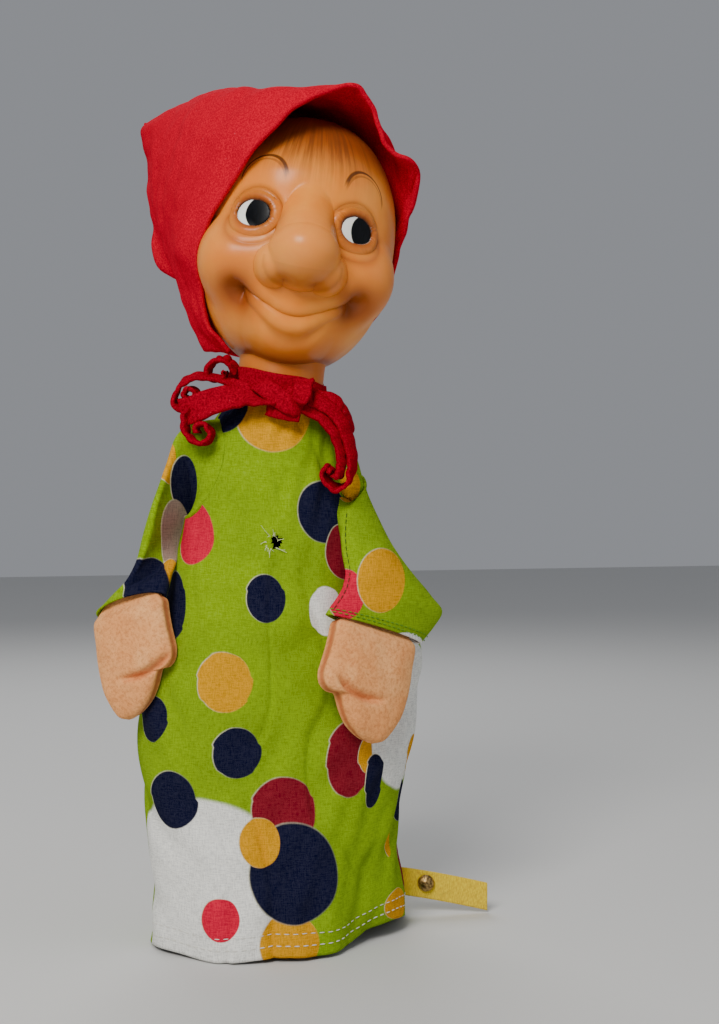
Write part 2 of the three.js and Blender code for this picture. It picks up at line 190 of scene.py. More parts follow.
def grid_object(name, points, uv=None, wrap=False, attributes=None):
    """A smooth quad mesh from a grid of points. uv has one more column than a wrapped grid."""
    rows, cols = points.shape[:2]
    i, j = np.meshgrid(np.arange(rows - 1), np.arange(cols if wrap else cols - 1), indexing="ij")
    i, j = i.ravel(), j.ravel()
    obj = mesh_object(name, points, quads(i, j, cols, (j + 1) % cols).tolist())
    if uv is not None:
        loops = quads(i, j, uv.shape[1], j + 1)
        layer = obj.data.uv_layers.new(name="cloth")
        layer.data.foreach_set("uv", uv.reshape(-1, 2)[loops.ravel()].astype(np.float32).ravel())
    for key, values in (attributes or {}).items():
        layer = obj.data.attributes.new(key, "FLOAT", "POINT")
        layer.data.foreach_set("value", values.astype(np.float32).ravel())
    return obj


def tube_faces(base, rings, around):
    """Faces between the rings of a tube whose points start at index base."""
    faces = []
    for near in range(base, base + (rings - 1) * around, around):
        far = near + around
        for m in range(around):
            n = (m + 1) % around
            faces.append([near + m, near + n, far + n, far + m])
    return faces


def apply_modifiers(obj):
    graph = bpy.context.evaluated_depsgraph_get()
    mesh = bpy.data.meshes.new_from_object(obj.evaluated_get(graph))
    obj.modifiers.clear()
    obj.data = mesh


def thicken(obj, thickness, offset=0.0):
    modifier = obj.modifiers.new("thickness", "SOLIDIFY")
    modifier.thickness = thickness / 1000
    modifier.offset = offset
    modifier.use_even_offset = False
    apply_modifiers(obj)


def dress(obj, material):
    obj.data.materials.clear()
    obj.data.materials.append(material)


# ---- Materials ----


def linear(red, green, blue):
    """A colour given as 0 to 255 display values."""
    shares = [value / 255 for value in (red, green, blue)]
    return (*(s / 12.92 if s <= 10 / 255 else ((s + 0.055) / 1.055) ** 2.4 for s in shares), 1)


def darker(colour, share):
    return (*(c * share for c in colour[:3]), 1)


class Graph:
    """A material's node graph, built by short calls that return sockets."""

    def __init__(self, name, roughness, metallic=0.0):
        self.material = bpy.data.materials.new(name)
        self.material.use_nodes = True
        self.tree = self.material.node_tree
        self.surface = self.tree.nodes["Principled BSDF"]
        self.set({"Roughness": roughness, "Metallic": metallic})

    def set(self, values):
        """Sets sockets of the surface shader that are the same all over."""
        for key, value in values.items():
            self.surface.inputs[key].default_value = value

    def node(self, kind, inputs=None, **settings):
        node = self.tree.nodes.new(kind)
        for key, value in settings.items():
            setattr(node, key, value)
        for key, value in (inputs or {}).items():
            self.feed(node.inputs[key], value)
        return node

    def feed(self, socket, value):
        if isinstance(value, bpy.types.NodeSocket):
            self.tree.links.new(value, socket)
        else:
            socket.default_value = value

    def math(self, operation, a, b=0.0, c=0.0):
        return self.node("ShaderNodeMath", {0: a, 1: b, 2: c}, operation=operation).outputs[0]

    def mix(self, factor, a, b):
        return self.node("ShaderNodeMix", {0: factor, 6: a, 7: b}, data_type="RGBA").outputs[2]

    def ramp(self, value, low, high, out_low=0.0, out_high=1.0):
        inputs = {0: value, 1: low, 2: high, 3: out_low, 4: out_high}
        return self.node("ShaderNodeMapRange", inputs, interpolation_type="SMOOTHSTEP").outputs[0]

    def place(self, vector, scale=(1, 1, 1), location=(0, 0, 0)):
        inputs = {"Vector": vector, "Scale": scale, "Location": location}
        return self.node("ShaderNodeMapping", inputs).outputs[0]

    def noise(self, vector, scale, detail=3.0, rough=0.55):
        inputs = {"Vector": vector, "Scale": scale, "Detail": detail, "Roughness": rough}
        return self.node("ShaderNodeTexNoise", inputs).outputs[0]

    def uv(self):
        return self.node("ShaderNodeTexCoord").outputs["UV"]

    def position(self):
        return self.node("ShaderNodeTexCoord").outputs["Object"]

    def attribute(self, name):
        return self.node("ShaderNodeAttribute", attribute_name=name).outputs["Fac"]

    def parts(self, vector):
        return self.node("ShaderNodeSeparateXYZ", {0: vector}).outputs

    def ellipse(self, uv, centre, radii, angle=0.0):
        """UV coordinates in which an ellipse is the unit circle."""
        inputs = {"Vector": uv, "Location": (*centre, 0), "Scale": (*radii, 1), "Rotation": (0, 0, angle)}
        return self.node("ShaderNodeMapping", inputs, vector_type="TEXTURE").outputs[0]

    def length(self, vector):
        return self.node("ShaderNodeVectorMath", {0: vector}, operation="LENGTH").outputs["Value"]

    def spot(self, uv, centre, radii, soft=0.04):
        """1 inside an ellipse of the UV plane, 0 outside."""
        distance = self.length(self.ellipse(uv, centre, radii))
        return self.ramp(distance, 1 - soft, 1 + soft, 1.0, 0.0)

    def bump(self, height, strength, distance):
        inputs = {"Height": height, "Strength": strength, "Distance": distance}
        node = self.node("ShaderNodeBump", inputs)
        self.feed(self.surface.inputs["Normal"], node.outputs[0])

    def colour(self, socket):
        self.feed(self.surface.inputs["Base Color"], socket)


GREEN = linear(138, 176, 0)
NAVY = linear(2, 8, 50)
YELLOW = linear(224, 158, 0)
CRIMSON = linear(134, 4, 36)
ROSE = linear(222, 10, 62)
WHITE = linear(248, 248, 242)
SHADED_WHITE = linear(164, 142, 130)
CREAM = linear(226, 222, 190)


# Waves of the weave across one UV unit (100 mm), times two pi.
WEAVE_PITCH = 1050.0


def linen(name, dots, ground=GREEN):
    """Plain-weave cotton printed with dots. Each dot is (across, up, half width, half height, colour)."""
    g = Graph(name, 0.92)
    uv = g.uv()
    warp = g.noise(g.place(uv, (260, 34, 1)), 1.0, 2)
    weft = g.noise(g.place(uv, (34, 260, 1), (7, 3, 0)), 1.0, 2)
    fine = g.noise(g.place(uv, (210, 210, 1)), 1.0, 2)
    broad = g.noise(uv, 3.5, 3)
    raw = g.node("ShaderNodeTexNoise", {"Vector": uv, "Scale": 70.0}).outputs[1]
    wobble = g.node("ShaderNodeVectorMath", {0: raw, 1: (0.5, 0.5, 0.5)}, operation="SUBTRACT").outputs[0]
    inputs = {0: wobble, 1: (0.0012, 0.0012, 0), 2: uv}
    edge = g.node("ShaderNodeVectorMath", inputs, operation="MULTIPLY_ADD").outputs[0]
    thread = g.math("ADD", warp, weft)
    shade = g.math("ADD", g.math("MULTIPLY", thread, 0.45), g.math("MULTIPLY_ADD", fine, 0.3, -0.1))
    colour = g.mix(g.ramp(broad, 0.35, 0.7), ground, darker(ground, 0.85))
    for across, up, half_width, half_height, paint in dots:
        centre = (across / 100, up / 100)
        radii = (half_width / 100, half_height / 100)
        if paint != WHITE:
            rim = (centre[0] - 0.0025, centre[1] + 0.001)
            colour = g.mix(g.spot(edge, rim, radii, 0.03), colour, CREAM)
        colour = g.mix(g.spot(edge, centre, radii, 0.03), colour, paint)
    inputs = {0: 1.0, 6: colour, 7: (0.66, 0.66, 0.66, 1)}
    dark = g.node("ShaderNodeMix", inputs, data_type="RGBA", blend_type="MULTIPLY").outputs[2]
    light = g.mix(0.02, colour, CREAM)
    g.colour(g.mix(g.ramp(shade, 0.34, 0.62), dark, light))
    parts = g.parts(edge)
    waves = [g.math("SINE", g.math("MULTIPLY", parts[k], WEAVE_PITCH)) for k in (0, 1)]
    weave = g.math("MULTIPLY", *waves)
    g.bump(g.math("MULTIPLY_ADD", weave, 0.35, shade), 0.5, 0.0005)
    g.set({"Specular IOR Level": 0.05})
    return g.material


def felt(name, base, dark):
    g = Graph(name, 1.0)
    at = g.position()
    fibres = g.noise(at, 1700.0, 4, 0.7)
    clumps = g.noise(at, 420.0, 3)
    broad = g.noise(at, 28.0, 2)
    colour = g.mix(g.ramp(fibres, 0.35, 0.7), dark, base)
    colour = g.mix(g.math("MULTIPLY", g.ramp(broad, 0.45, 0.75), 0.18), colour, dark)
    lint = g.ramp(g.noise(at, 800.0, 2), 0.72, 0.8, 0.0, 0.3)
    g.colour(g.mix(lint, colour, linear(246, 120, 140)))
    g.bump(g.math("ADD", fibres, g.math("MULTIPLY", clumps, 0.35)), 0.45, 0.0004)
    g.set({"Specular IOR Level": 0.02, "Sheen Weight": 0.04, "Sheen Roughness": 0.5})
    g.set({"Sheen Tint": linear(255, 40, 70)})
    return g.material


def velour(name):
    g = Graph(name, 1.0)
    at = g.position()
    pile = g.noise(at, 850.0, 4, 0.75)
    nap = g.noise(at, 90.0, 3)
    crush = g.noise(at, 330.0, 3)
    colour = g.mix(g.ramp(nap, 0.35, 0.7), linear(240, 164, 100), linear(250, 182, 118))
    colour = g.mix(g.ramp(pile, 0.3, 0.6, 0.55, 0.0), colour, linear(176, 98, 52))
    colour = g.mix(g.ramp(crush, 0.3, 0.7, 0.0, 0.15), colour, linear(196, 116, 66))
    # The seam attribute darkens the sewn edges and paints shade into the thumb's crease.
    colour = g.mix(g.attribute("seam"), colour, linear(176, 84, 46))
    g.colour(colour)
    g.bump(g.math("ADD", pile, g.math("MULTIPLY", crush, 0.8)), 0.6, 0.0006)
    g.set({"Specular IOR Level": 0.1, "Sheen Weight": 0.2, "Sheen Roughness": 0.4})
    g.set({"Sheen Tint": linear(255, 196, 140)})
    return g.material


def thread_material(name, colour):
    g = Graph(name, 0.8)
    at = g.position()
    g.colour(g.mix(g.noise(at, 900.0, 2), colour, darker(colour, 0.7)))
    g.bump(g.noise(at, 2200.0, 2), 0.5, 0.0003)
    return g.material


# ---- Dress ----


def smooth_oval(z, x_side):
    """Half width and half depth of the dress at a height, with the table's corners rounded off."""
    columns = DRESS_OVALS.T
    total = 0
    for step in (-6, -3, 0, 3, 6):
        at = np.clip(z + step * np.where(z > 180, 0.2, 1.0), 0, NECK_TOP)
        right, left, depth = (np.interp(at, columns[0], columns[k]) for k in (1, 2, 3))
        side = smooth_step(x_side, -0.6, 0.6)
        total = total + np.array([right * (1 - side) + left * side, depth + 0 * side])
    return total / 5


SEAM_TURN = math.radians(14)


def seam_turn(z):
    """How far the left side seam has swung to the front, at a height."""
    return SEAM_TURN * (1 - smooth_step(z, 35, 140))


# The armhole is an oval cut across the side seam.
ARMHOLE = {"middle": 167.5, "half_height": 17.5, "half_width": 12}


def arm_gap(z):
    """Half the armhole's width at a height."""
    t = (z - ARMHOLE["middle"]) / ARMHOLE["half_height"]
    return ARMHOLE["half_width"] * np.sqrt(np.clip(1 - t * t, 0, 1))


def dress_surface(angle, z):
    """Points of the dress. angle is 0 at the puppet's left, a quarter turn at the front."""
    angle, z = np.broadcast_arrays(angle, z)
    a, b = smooth_oval(z, np.cos(angle))
    x, y = a * np.cos(angle), -b * np.sin(angle)
    arc = 50 * np.cos(angle)
    up = z + 31 * np.sin(angle)
    low = 1 - smooth_step(z, 20, 150)
    neck = smooth_step(z, 180, 190)
    push = 1.0 * ripples(arc, up, 42, 3, along=0.5) * (0.35 + low)
    push = push + 0.5 * ripples(arc, up, 16, 5, along=0.7) * (1 - neck)
    crease = ripples(arc, up, 36, 7, along=0.45)
    push = push - 0.9 * bell(crease, 0.24) * (0.35 + low) * (1 - neck)
    push = push + 1.1 * np.cos(angle * 8 + 0.9) * low**2 * (1 - smooth_step(z, 0, 70))
    push = push + 0.45 * np.cos(angle * 30) * neck
    push = push - 1.0 * bell(z - 128 + 10 * np.cos(angle), 9) * np.sin(angle) ** 2
    # The skirt's front swings out towards the puppet's right, and its hem lifts at the left.
    swing = np.clip(np.sin(angle - 0.5), 0, 1) * (1 - smooth_step(z, 0, 60))
    size = np.hypot(x, y)
    lift = 4.5 * bell(angle - 0.75, 0.55) * (1 - smooth_step(z, 0, 40))
    lift = lift + 0.6 * (1 + np.cos(angle * 6 + 1.6)) * (1 - smooth_step(z, 0, 30))
    out = (size + push) / size
    return np.stack([x * out - 1.5 * swing, y * out - 8.5 * swing, z + lift], -1)


def arc_lengths(points, zero):
    """Distance along each row of a grid from the column nearest to zero."""
    steps = np.linalg.norm(np.diff(points[..., :2], axis=1), axis=-1)
    length = np.concatenate([np.zeros((len(points), 1)), np.cumsum(steps, axis=1)], axis=1)
    return length - length[np.arange(len(points)), zero][:, None]


# Dots of the print: across from the front's middle (positive to the puppet's left), up from the hem.
FRONT_DOTS = [
    (-9, 187.5, 14, 14.5, YELLOW),
    (-28, 189, 9, 9, NAVY),
    (-41, 144.5, 9.4, 11, ROSE),
    (-50, 119, 7, 12, NAVY),
    (9, 152, 10.6, 11, NAVY),
    (17.5, 138, 9, 10, CRIMSON),
    (-14, 122, 6.8, 8.3, NAVY),
    (8, 117.3, 6.6, 8.6, WHITE),
    (-29.2, 93.6, 9.6, 10.3, YELLOW),
    (-58, 80, 8, 8, NAVY),
    (-25, 69.5, 8.4, 8.7, NAVY),
    (-41, 21.5, 35.5, 32.5, WHITE),
    (-48.5, 53, 9.8, 10, NAVY),
    (-8.5, 49, 11.6, 11.6, CRIMSON),
    (-8.5, 4.5, 10.6, 10.4, YELLOW),
    (-6, 28, 15.8, 17, NAVY),
    (-17.5, 39, 7.2, 8.2, YELLOW),
    (-32.5, 14, 6.9, 7.1, ROSE),
    (47, 78, 23, 27, WHITE),
    (16, 65.5, 9, 13.4, CRIMSON),
    (23, 66.5, 3.2, 6.6, YELLOW),
    (27.5, 56.5, 5, 9.6, NAVY),
    (41, 32, 2, 6, YELLOW),
    (44, 6, 9, 6, YELLOW),
    (54, 62, 5, 8, YELLOW),
    (52, 46, 5, 8, NAVY),
]
BACK_DOTS = [
    (45, 71, 15, 17, WHITE),
    (52, 57, 7, 8, YELLOW),
    (53, 43, 7, 8, NAVY),
    (34, 31, 4, 7, YELLOW),
    (43, 6, 7, 6, YELLOW),
    (70, 20, 12, 12, CRIMSON),
    (78, 88, 11, 11, NAVY),
    (96, 54, 14, 14, YELLOW),
    (118, 92, 9, 9, ROSE),
    (122, 24, 24, 24, WHITE),
    (116, 38, 9, 9, NAVY),
    (96, 116, 10, 10, WHITE),
    (76, 128, 9, 9, YELLOW),
    (112, 140, 9, 9, NAVY),
    (90, 160, 9, 9, CRIMSON),
    (142, 68, 10, 10, YELLOW),
    (150, 110, 9, 9, NAVY),
    (104, 182, 9, 9, WHITE),
    (150, 14, 9, 9, NAVY),
    (160, 36, 8, 8, CRIMSON),
]
BACK_MIDDLE = 122
PANEL_HEIGHTS = np.concatenate(
    [np.linspace(0, 12, 13), np.linspace(13.1, 184, 156), np.linspace(184.8, NECK_TOP, 15)]
)
HEM_STITCH_HEIGHTS = (4, 8)

# The moth hole in the front panel.
HOLE = {"across": -9.5, "up": 141.5, "half_width": 1.5, "half_height": 2.2}


def dress_panel(name, front, dots):
    """One panel of the dress. The back panel runs on from the left seam, round the back."""
    z = PANEL_HEIGHTS[:, None]
    inset = np.arcsin(np.clip(arm_gap(z) / 23, 0, 0.95))
    left = seam_turn(z) + np.where(z > 149, inset, 0)
    right = math.pi - inset
    share = np.linspace(0, 1, 221)[None, :]
    if front:
        angle = left + (right - left) * share
    else:
        start = left - 2 * inset
        angle = start + (inset - math.pi - start) * share
    points = dress_surface(angle, z)
    side = dress_surface(np.linspace(0, math.pi / 2, 60)[None, :], z)
    half = np.linalg.norm(np.diff(side[..., :2], axis=1), axis=-1).sum(1)
    middle = np.abs(angle - (math.pi / 2 if front else 0)).argmin(axis=1)
    arc = arc_lengths(points, middle)
    across = -arc
    if not front:
        # Near the seam the print runs on from the front panel; further round it is square to the back.
        square = arc_lengths(points, np.abs(angle + math.pi / 2).argmin(axis=1)) + BACK_MIDDLE
        far = smooth_step(arc, 15, 60)
        across = (arc + half[:, None]) * (1 - far) + square * far
    out = grid_normals(points)
    middle_out = points * [1, 1, 0]
    out = out * np.sign((out * middle_out).sum(-1, keepdims=True))
    up = z + 0 * across
    uv = np.stack([across / 100, up / 100], -1)
    if front:
        inside, points = hole_mask(points, across, up)
    obj = grid_object(name, points, uv)
    if front:
        cut_hole(obj, inside)
    thicken(obj, THICKNESS["dress"])
    dress(obj, linen(name + "_print", dots))
    return obj, points, out


def hole_mask(points, across, up):
    """Marks the grid points inside the moth hole and draws the points round it in to its ragged rim."""
    x, y = (across - HOLE["across"]) / HOLE["half_width"], (up - HOLE["up"]) / HOLE["half_height"]
    angle = np.arctan2(y, x)
    rim = 1 + 0.16 * np.sin(3 * angle + 1) + 0.1 * np.sin(5 * angle)
    inside = np.hypot(x, y) < rim
    grown = inside.copy()
    for step, axis in ((1, 0), (-1, 0), (1, 1), (-1, 1)):
        grown |= np.roll(inside, step, axis)
    ring = grown & ~inside
    shift_across = (np.cos(angle) * rim - x) * HOLE["half_width"] * ring
    shift_up = (np.sin(angle) * rim - y) * HOLE["half_height"] * ring
    tangent = np.gradient(points, axis=1) / np.gradient(across, axis=1)[..., None]
    tall = np.gradient(points, axis=0) / np.gradient(up, axis=0)[..., None]
    return inside, points + tangent * shift_across[..., None] + tall * shift_up[..., None]


def cut_hole(obj, inside):
    mesh = bmesh.new()
    mesh.from_mesh(obj.data)
    mesh.verts.ensure_lookup_table()
    doomed = [mesh.verts[i] for i in np.flatnonzero(inside)]
    bmesh.ops.delete(mesh, geom=doomed, context="VERTS")
    mesh.to_mesh(obj.data)
    mesh.free()


def stitches(name, path, length, gap, radius, material):
    """Running stitches: short rounded threads along a path of points."""
    path = np.asarray(path)
    steps = np.linalg.norm(np.diff(path, axis=0), axis=1)
    s = np.concatenate([[0], np.cumsum(steps)])
    verts, faces = [], []
    around, along = 6, 5
    for start in np.arange(0, s[-1] - length, length + gap):
        base = len(verts)
        places = np.linspace(start, start + length, along)
        at = np.stack([np.interp(places, s, path[:, k]) for k in range(3)], -1)
        forward = at[-1] - at[0]
        forward = forward / np.linalg.norm(forward)
        side = np.cross(forward, [0, 0, 1.0])
        side = side / max(np.linalg.norm(side), 1e-6)
        up = np.cross(side, forward)
        for k in range(along):
            r = radius * (0.35 if k in (0, along - 1) else 1.0)
            for m in range(around):
                a = 2 * math.pi * m / around
                verts.append(at[k] + r * (math.cos(a) * side + math.sin(a) * up))
        faces += tube_faces(base, along, around)
        faces.append([base + m for m in reversed(range(around))])
        faces.append([base + (along - 1) * around + m for m in range(around)])
    obj = mesh_object(name, np.array(verts), faces)
    dress(obj, material)
    return obj


# ---- Sleeves ----

SLEEVES = {
    "right": {
        "outer": [[-26.5, 0, 184.5], [-36.5, -3, 181.5], [-42.6, -6, 169], [-47, -8, 157], [-50.5, -8, 144],
                  [-54, -6, 132.5], [-60, 0, 122.5], [-65.5, 4, 115]],
        "inner": [[-30, 0, 151], [-30.5, 4, 150.5], [-31, 6, 148], [-33, 6, 144], [-36, 4, 139],
                  [-39.5, -2, 134], [-43.5, -9, 129], [-46.5, -14, 123.5]],
        "tip": [-57, -4, 78],
        "widen": 0.9,
        "depths": [6.6, 2.2, 2.0, 5.6],
        "hollow": 3.0,
        "dots": [
            (-37.6, 171, 2.4, 9, YELLOW),
            (-32.2, 161.5, 5, 10.5, NAVY),
            (-36.2, 143.5, 4.6, 13, SHADED_WHITE),
            (-37.5, 127, 3.4, 8, YELLOW),
            (-44.5, 126, 7.5, 10, NAVY),
        ],
    },
    "left": {
        "outer": [[26.5, 0, 184.5], [23.5, -4, 176], [25, -7.5, 165], [30, -12, 153.5], [36, -16.5, 142],
                  [44.5, -19.5, 130], [51.5, -21.5, 121], [55.5, -22.5, 115.8], [51.5, -24.5, 110.5],
                  [44.5, -27.5, 104.5]],
        "inner": [[30, 0, 151], [24, -17, 158], [17, -24, 154], [14.5, -27, 146], [14, -29, 138],
                  [14.5, -31, 131], [13, -33, 127], [10.8, -34.5, 124], [8, -36, 120.8],
     [4.5, -37.5, 117]],
        "tip": [22, -39, 71.5],
        "widen": 1.12,
        "depths": [6.6, 6.2, 6.0, 5.8],
        "hollow": 0.0,
        "dots": [
            (25.5, 161.5, 4, 6, YELLOW),
            (25, 123.5, 6.5, 8.5, ROSE),
            (37.5, 128, 8.4, 11.1, YELLOW),
            (45.5, 104.5, 7, 5, WHITE),
        ],
    },
}


def sleeve_sections(edges, count):
    """Middle line, half width and flat direction of a sleeve, from the armhole to the wrist."""
    outer, inner = spline(edges["outer"], count), spline(edges["inner"], count)
    centre, half = (outer + inner) / 2, (outer - inner) / 2
    along = np.gradient(centre, axis=0)
    flat = np.cross(half, along)
    flat /= np.linalg.norm(flat, axis=1, keepdims=True)
    flat[flat[:, 1] > 0] *= -1
    return centre, half, flat


def sleeve(side):
    edges = SLEEVES[side]
    rows, around = 90, 128
    centre, half, facing = sleeve_sections(edges, rows)
    phi = np.linspace(0, 2 * math.pi, around, endpoint=False)
    share = np.linspace(0, 1, rows)[:, None]
    depth = np.sign(np.sin(phi)) * np.abs(np.sin(phi)) ** 1.15
    wide = np.cos(phi)
    thick = np.interp(share, [0, 0.3, 0.7, 1], edges["depths"])
    bulge = depth * thick - edges["hollow"] * (1 - wide**2) * np.sin(share * math.pi)
    points = centre[:, None] + half[:, None] * wide[None, :, None] + facing[:, None] * bulge[..., None]
    # The first rows flare out to the edge of the armhole.
    sign = -1 if side == "right" else 1
    z = ARMHOLE["middle"] + ARMHOLE["half_height"] * np.cos(phi)
    a, b = smooth_oval(z, sign + 0 * z)
    gap = arm_gap(z) * np.sign(np.sin(phi))
    rim = np.stack([sign * (a * np.sqrt(1 - np.clip(gap / b, -1, 1) ** 2) - 0.6), -gap, z], -1)
    flare = (1 - smooth_step(share, 0.0, 0.2))[..., None]
    points = points * (1 - flare) + (rim[None] + (centre - centre[0])[:, None] * 0.8) * flare
    s = share * 70
    arc = phi[None, :] * 9
    push = 0.55 * ripples(arc, s, 17, 11 + sign) + 0.9 * ripples(arc, s, 40, 21 + sign)
    push = push * smooth_step(share, 0.08, 0.3) * (1 - smooth_step(share, 0.9, 1.0))
    push = push * np.abs(np.sin(phi))[None, :]
    normal = grid_normals(points)
    outward = np.sign((normal * (points - points.mean(axis=1, keepdims=True))).sum(-1, keepdims=True))
    points = points + normal * outward * push[..., None]
    planar = points[..., 0] * math.cos(VIEW) + points[..., 1] * math.sin(VIEW)
    uv = np.stack([planar / 100, points[..., 2] / 100], -1)
    uv = np.concatenate([uv, uv[:, :1]], axis=1)
    obj = grid_object(side + "_sleeve_cloth", points, uv, wrap=True)
    thicken(obj, THICKNESS["sleeve"], -1)
    dress(obj, linen(side + "_sleeve_print", edges["dots"]))
    return obj, points, grid_normals(points) * outward


# ---- Hands ----

# From inside the sleeve to the fingertips: thumb side (across, down), outer side (across, down), fullness.
MITTEN = np.array(
    [
        [-11, -4, 11, -4, 0.25],
        [-14.6, 0.2, 14.6, 0.2, 0.6],
        [-16.4, 2.2, 15.8, 2.2, 0.92],
        [-17.2, 6, 15.4, 6, 1.03],
        [-18.6, 11.5, 14.6, 10, 1.03],
        [-20.4, 17, 14, 14.5, 1],
        [-21.4, 20.5, 13.4, 17.5, 1],
        [-21, 23.8, 12.8, 20, 0.99],
        [-18.6, 25.8, 12, 22.5, 0.97],
        [-15.6, 25.8, 11, 25.5, 0.94],
        [-14.4, 27.8, 9.6, 28.6, 0.92],
        [-13.4, 31, 7.6, 32, 0.85],
        [-11, 35.4, 5.2, 35.6, 0.7],
        [-7, 38.6, 2.6, 38.4, 0.46],
        [-3, 40, -1, 40, 0.05],
    ]
)


# Across and down the mitten: where the thumb's crease starts, and the way it runs.
THUMB_NOTCH = (-15.5, 23.5)
THUMB_CREASE = (0.87, 0.49)
HALF_HAND = 5.9


def hand(side):
    edges = SLEEVES[side]
    centre, half, flat = sleeve_sections(edges, 60)
    origin, across, flat = centre[-1], half[-1] / np.linalg.norm(half[-1]), flat[-1]
    down = np.array(edges["tip"]) - origin
    down /= np.linalg.norm(down)
    face = np.cross(across, down)
    face /= np.linalg.norm(face)
    if face @ flat < 0:
        face = -face
    rows, around = 110, 160
    table = spline(MITTEN, rows)
    phi = np.linspace(0, 2 * math.pi, around, endpoint=False)[None, :]
    mix = (1 - np.cos(phi)) / 2
    u = (table[:, 0:1] * (1 - mix) + table[:, 2:3] * mix) * edges["widen"]
    v = table[:, 1:2] * (1 - mix) + table[:, 3:4] * mix
    edge_round = np.abs(np.sin(phi)) ** 0.62
    out = HALF_HAND * np.clip(table[:, 4:5], 0, 1) * edge_round * np.sign(np.sin(phi))
    # The thumb is pinched off from the palm by a crease that runs in from the notch.
    (notch_u, notch_v), (ahead_u, ahead_v) = THUMB_NOTCH, THUMB_CREASE
    run = (u - notch_u) * ahead_u + (v - notch_v) * ahead_v
    off = (u - notch_u) * ahead_v - (v - notch_v) * ahead_u - 0.03 * run**2
    crease = bell(off, 1.5) * smooth_step(run, -6, 0) * (1 - smooth_step(run, 8, 17))
    out = out * (1 - 0.5 * crease * smooth_step(np.abs(out), 0, 2))
    lumps = 0.25 * ripples(u, v * np.sign(np.sin(phi) + 1e-9), 15, 31) * edge_round
    out = out + lumps * np.sign(np.sin(phi))
    seam = bell(np.sin(phi), 0.16) * (table[:, 4:5] > 0)
    pinch = 1 - 0.035 * seam
    middle = (table[:, 0:1] + table[:, 2:3]) / 2 * edges["widen"]
    u = middle + (u - middle) * pinch
    points = origin + across * u[..., None] + down * v[..., None] + face * out[..., None]
    # Darker along the sewn edge, plus painted shade in the thumb's crease.
    seam_and_crease_shade = np.clip(bell(np.sin(phi), 0.11) + 0.6 * crease, 0, 1) + 0 * u
    return grid_object(side + "_hand_plush", points, wrap=True, attributes={"seam": seam_and_crease_shade * 0.75})


# ---- Head ----


def ray_sphere(direction, centre, radii):
    """Far distance at which a ray from the origin leaves an ellipsoid, or 0 where it misses."""
    d, c = direction / radii, np.asarray(centre) / radii
    a, b = (d * d).sum(-1), (d * c).sum(-1)
    disc = b * b - a * ((c * c).sum(-1) - 1)
    return np.where(disc > 0, (b + np.sqrt(np.maximum(disc, 0))) / a, 0)


def soft_max(a, b, width):
    blend = np.clip(0.5 + 0.5 * (a - b) / width, 0, 1)
    return b * (1 - blend) + a * blend + width * blend * (1 - blend)


def hump(t, lift, at, spread):
    return np.exp(-(((t - at[0]) / spread[0]) ** 2 + ((lift - at[1]) / spread[1]) ** 2) / 2)


NECK_RADIUS = 13.8
NECK_FOOT = 186
# Degrees round the head from the nose, and up from its middle.
EYE = {"turn": 28.5, "lift": 2.0, "half_width": 10.8, "half_height": 8.8}
SMILE = np.array(
    [[-36, -33], [-29, -36], [-19, -41], [-9, -44.6], [0, -45.8], [9, -45], [19, -41.6], [29, -36.5],
     [36, -34]]
)


def smile_distance(t, lift):
    """Signed height above the smile line, and nearness to the span between its corners."""
    path = spline(SMILE, 80)
    line = np.interp(t, path[:, 0], path[:, 1])
    inside = 1 - smooth_step(np.abs(t), 30, 37)
    return lift - line, inside


def head_vinyl():
    """A skin given by its distance from the head's centre at each turn (t) and lift (l), in degrees."""
    lifts = np.concatenate([np.linspace(89.9, -66, 330), np.linspace(-66.3, -76.9, 60)])
    turns = np.linspace(-180, 180, 421)
    t, l = np.meshgrid(turns, lifts)
    tr, lr = np.radians(t), np.radians(l)
    d = np.stack([np.sin(tr) * np.cos(lr), -np.cos(tr) * np.cos(lr), np.sin(lr)], -1)
    radius = (np.abs(d / HEAD_SIZE) ** HEAD_POWER).sum(-1) ** (-1 / HEAD_POWER)
    shade = np.zeros_like(radius)
    radius = add_cheeks(radius, d, t, l)
    radius = add_nose(radius, shade, d, t, l)
    radius = add_mouth(radius, shade, t, l)
    for side in (-1, 1):
        radius = add_eye(radius, shade, t - side * EYE["turn"], l - EYE["lift"])
    radius = add_neck(radius, lr, l)
    shade += 0.5 * bell(l + 68, 2.6) + 0.45 * smooth_step(-l, 52, 66)
    shade += 1.0 * smooth_step(l, 18, 50) + 0.3 * smooth_step(np.abs(t), 46, 66) * smooth_step(l, -30, 10)

    points = d * radius[..., None]
    points[..., 2] += HEAD_CENTRE
    points = lean_head(turn(points, HEAD_TURN))[:, :-1]
    uv = np.stack([t / 100, l / 100], -1)
    shade = np.clip(shade, 0, 1)[:, :-1]
    obj = grid_object("head_vinyl", points, uv, wrap=True, attributes={"shade": shade})
    thicken(obj, THICKNESS["vinyl"], -1)
    dress(obj, painted_vinyl())
    return obj


def add_cheeks(radius, d, t, l):
    """Cheeks, eye sockets, brow and chin."""
    for side in (-1, 1):
        cheek = ray_sphere(d, (side * 17, -16.5, -12), np.array([16.2, 16.5, 15.5]))
        radius = soft_max(radius, cheek, 5)
        radius = radius - 2.2 * hump(t, l, (side * EYE["turn"], EYE["lift"] + 1), (11, 10))
    radius = radius + 1.1 * hump(t, l, (0, 27), (34, 7)) - 1.0 * hump(t, l, (0, 12), (9, 8))
    chin = ray_sphere(d, (0, -15.5, -29), np.array([13.5, 13.5, 14]))
    return soft_max(radius, chin, 6)


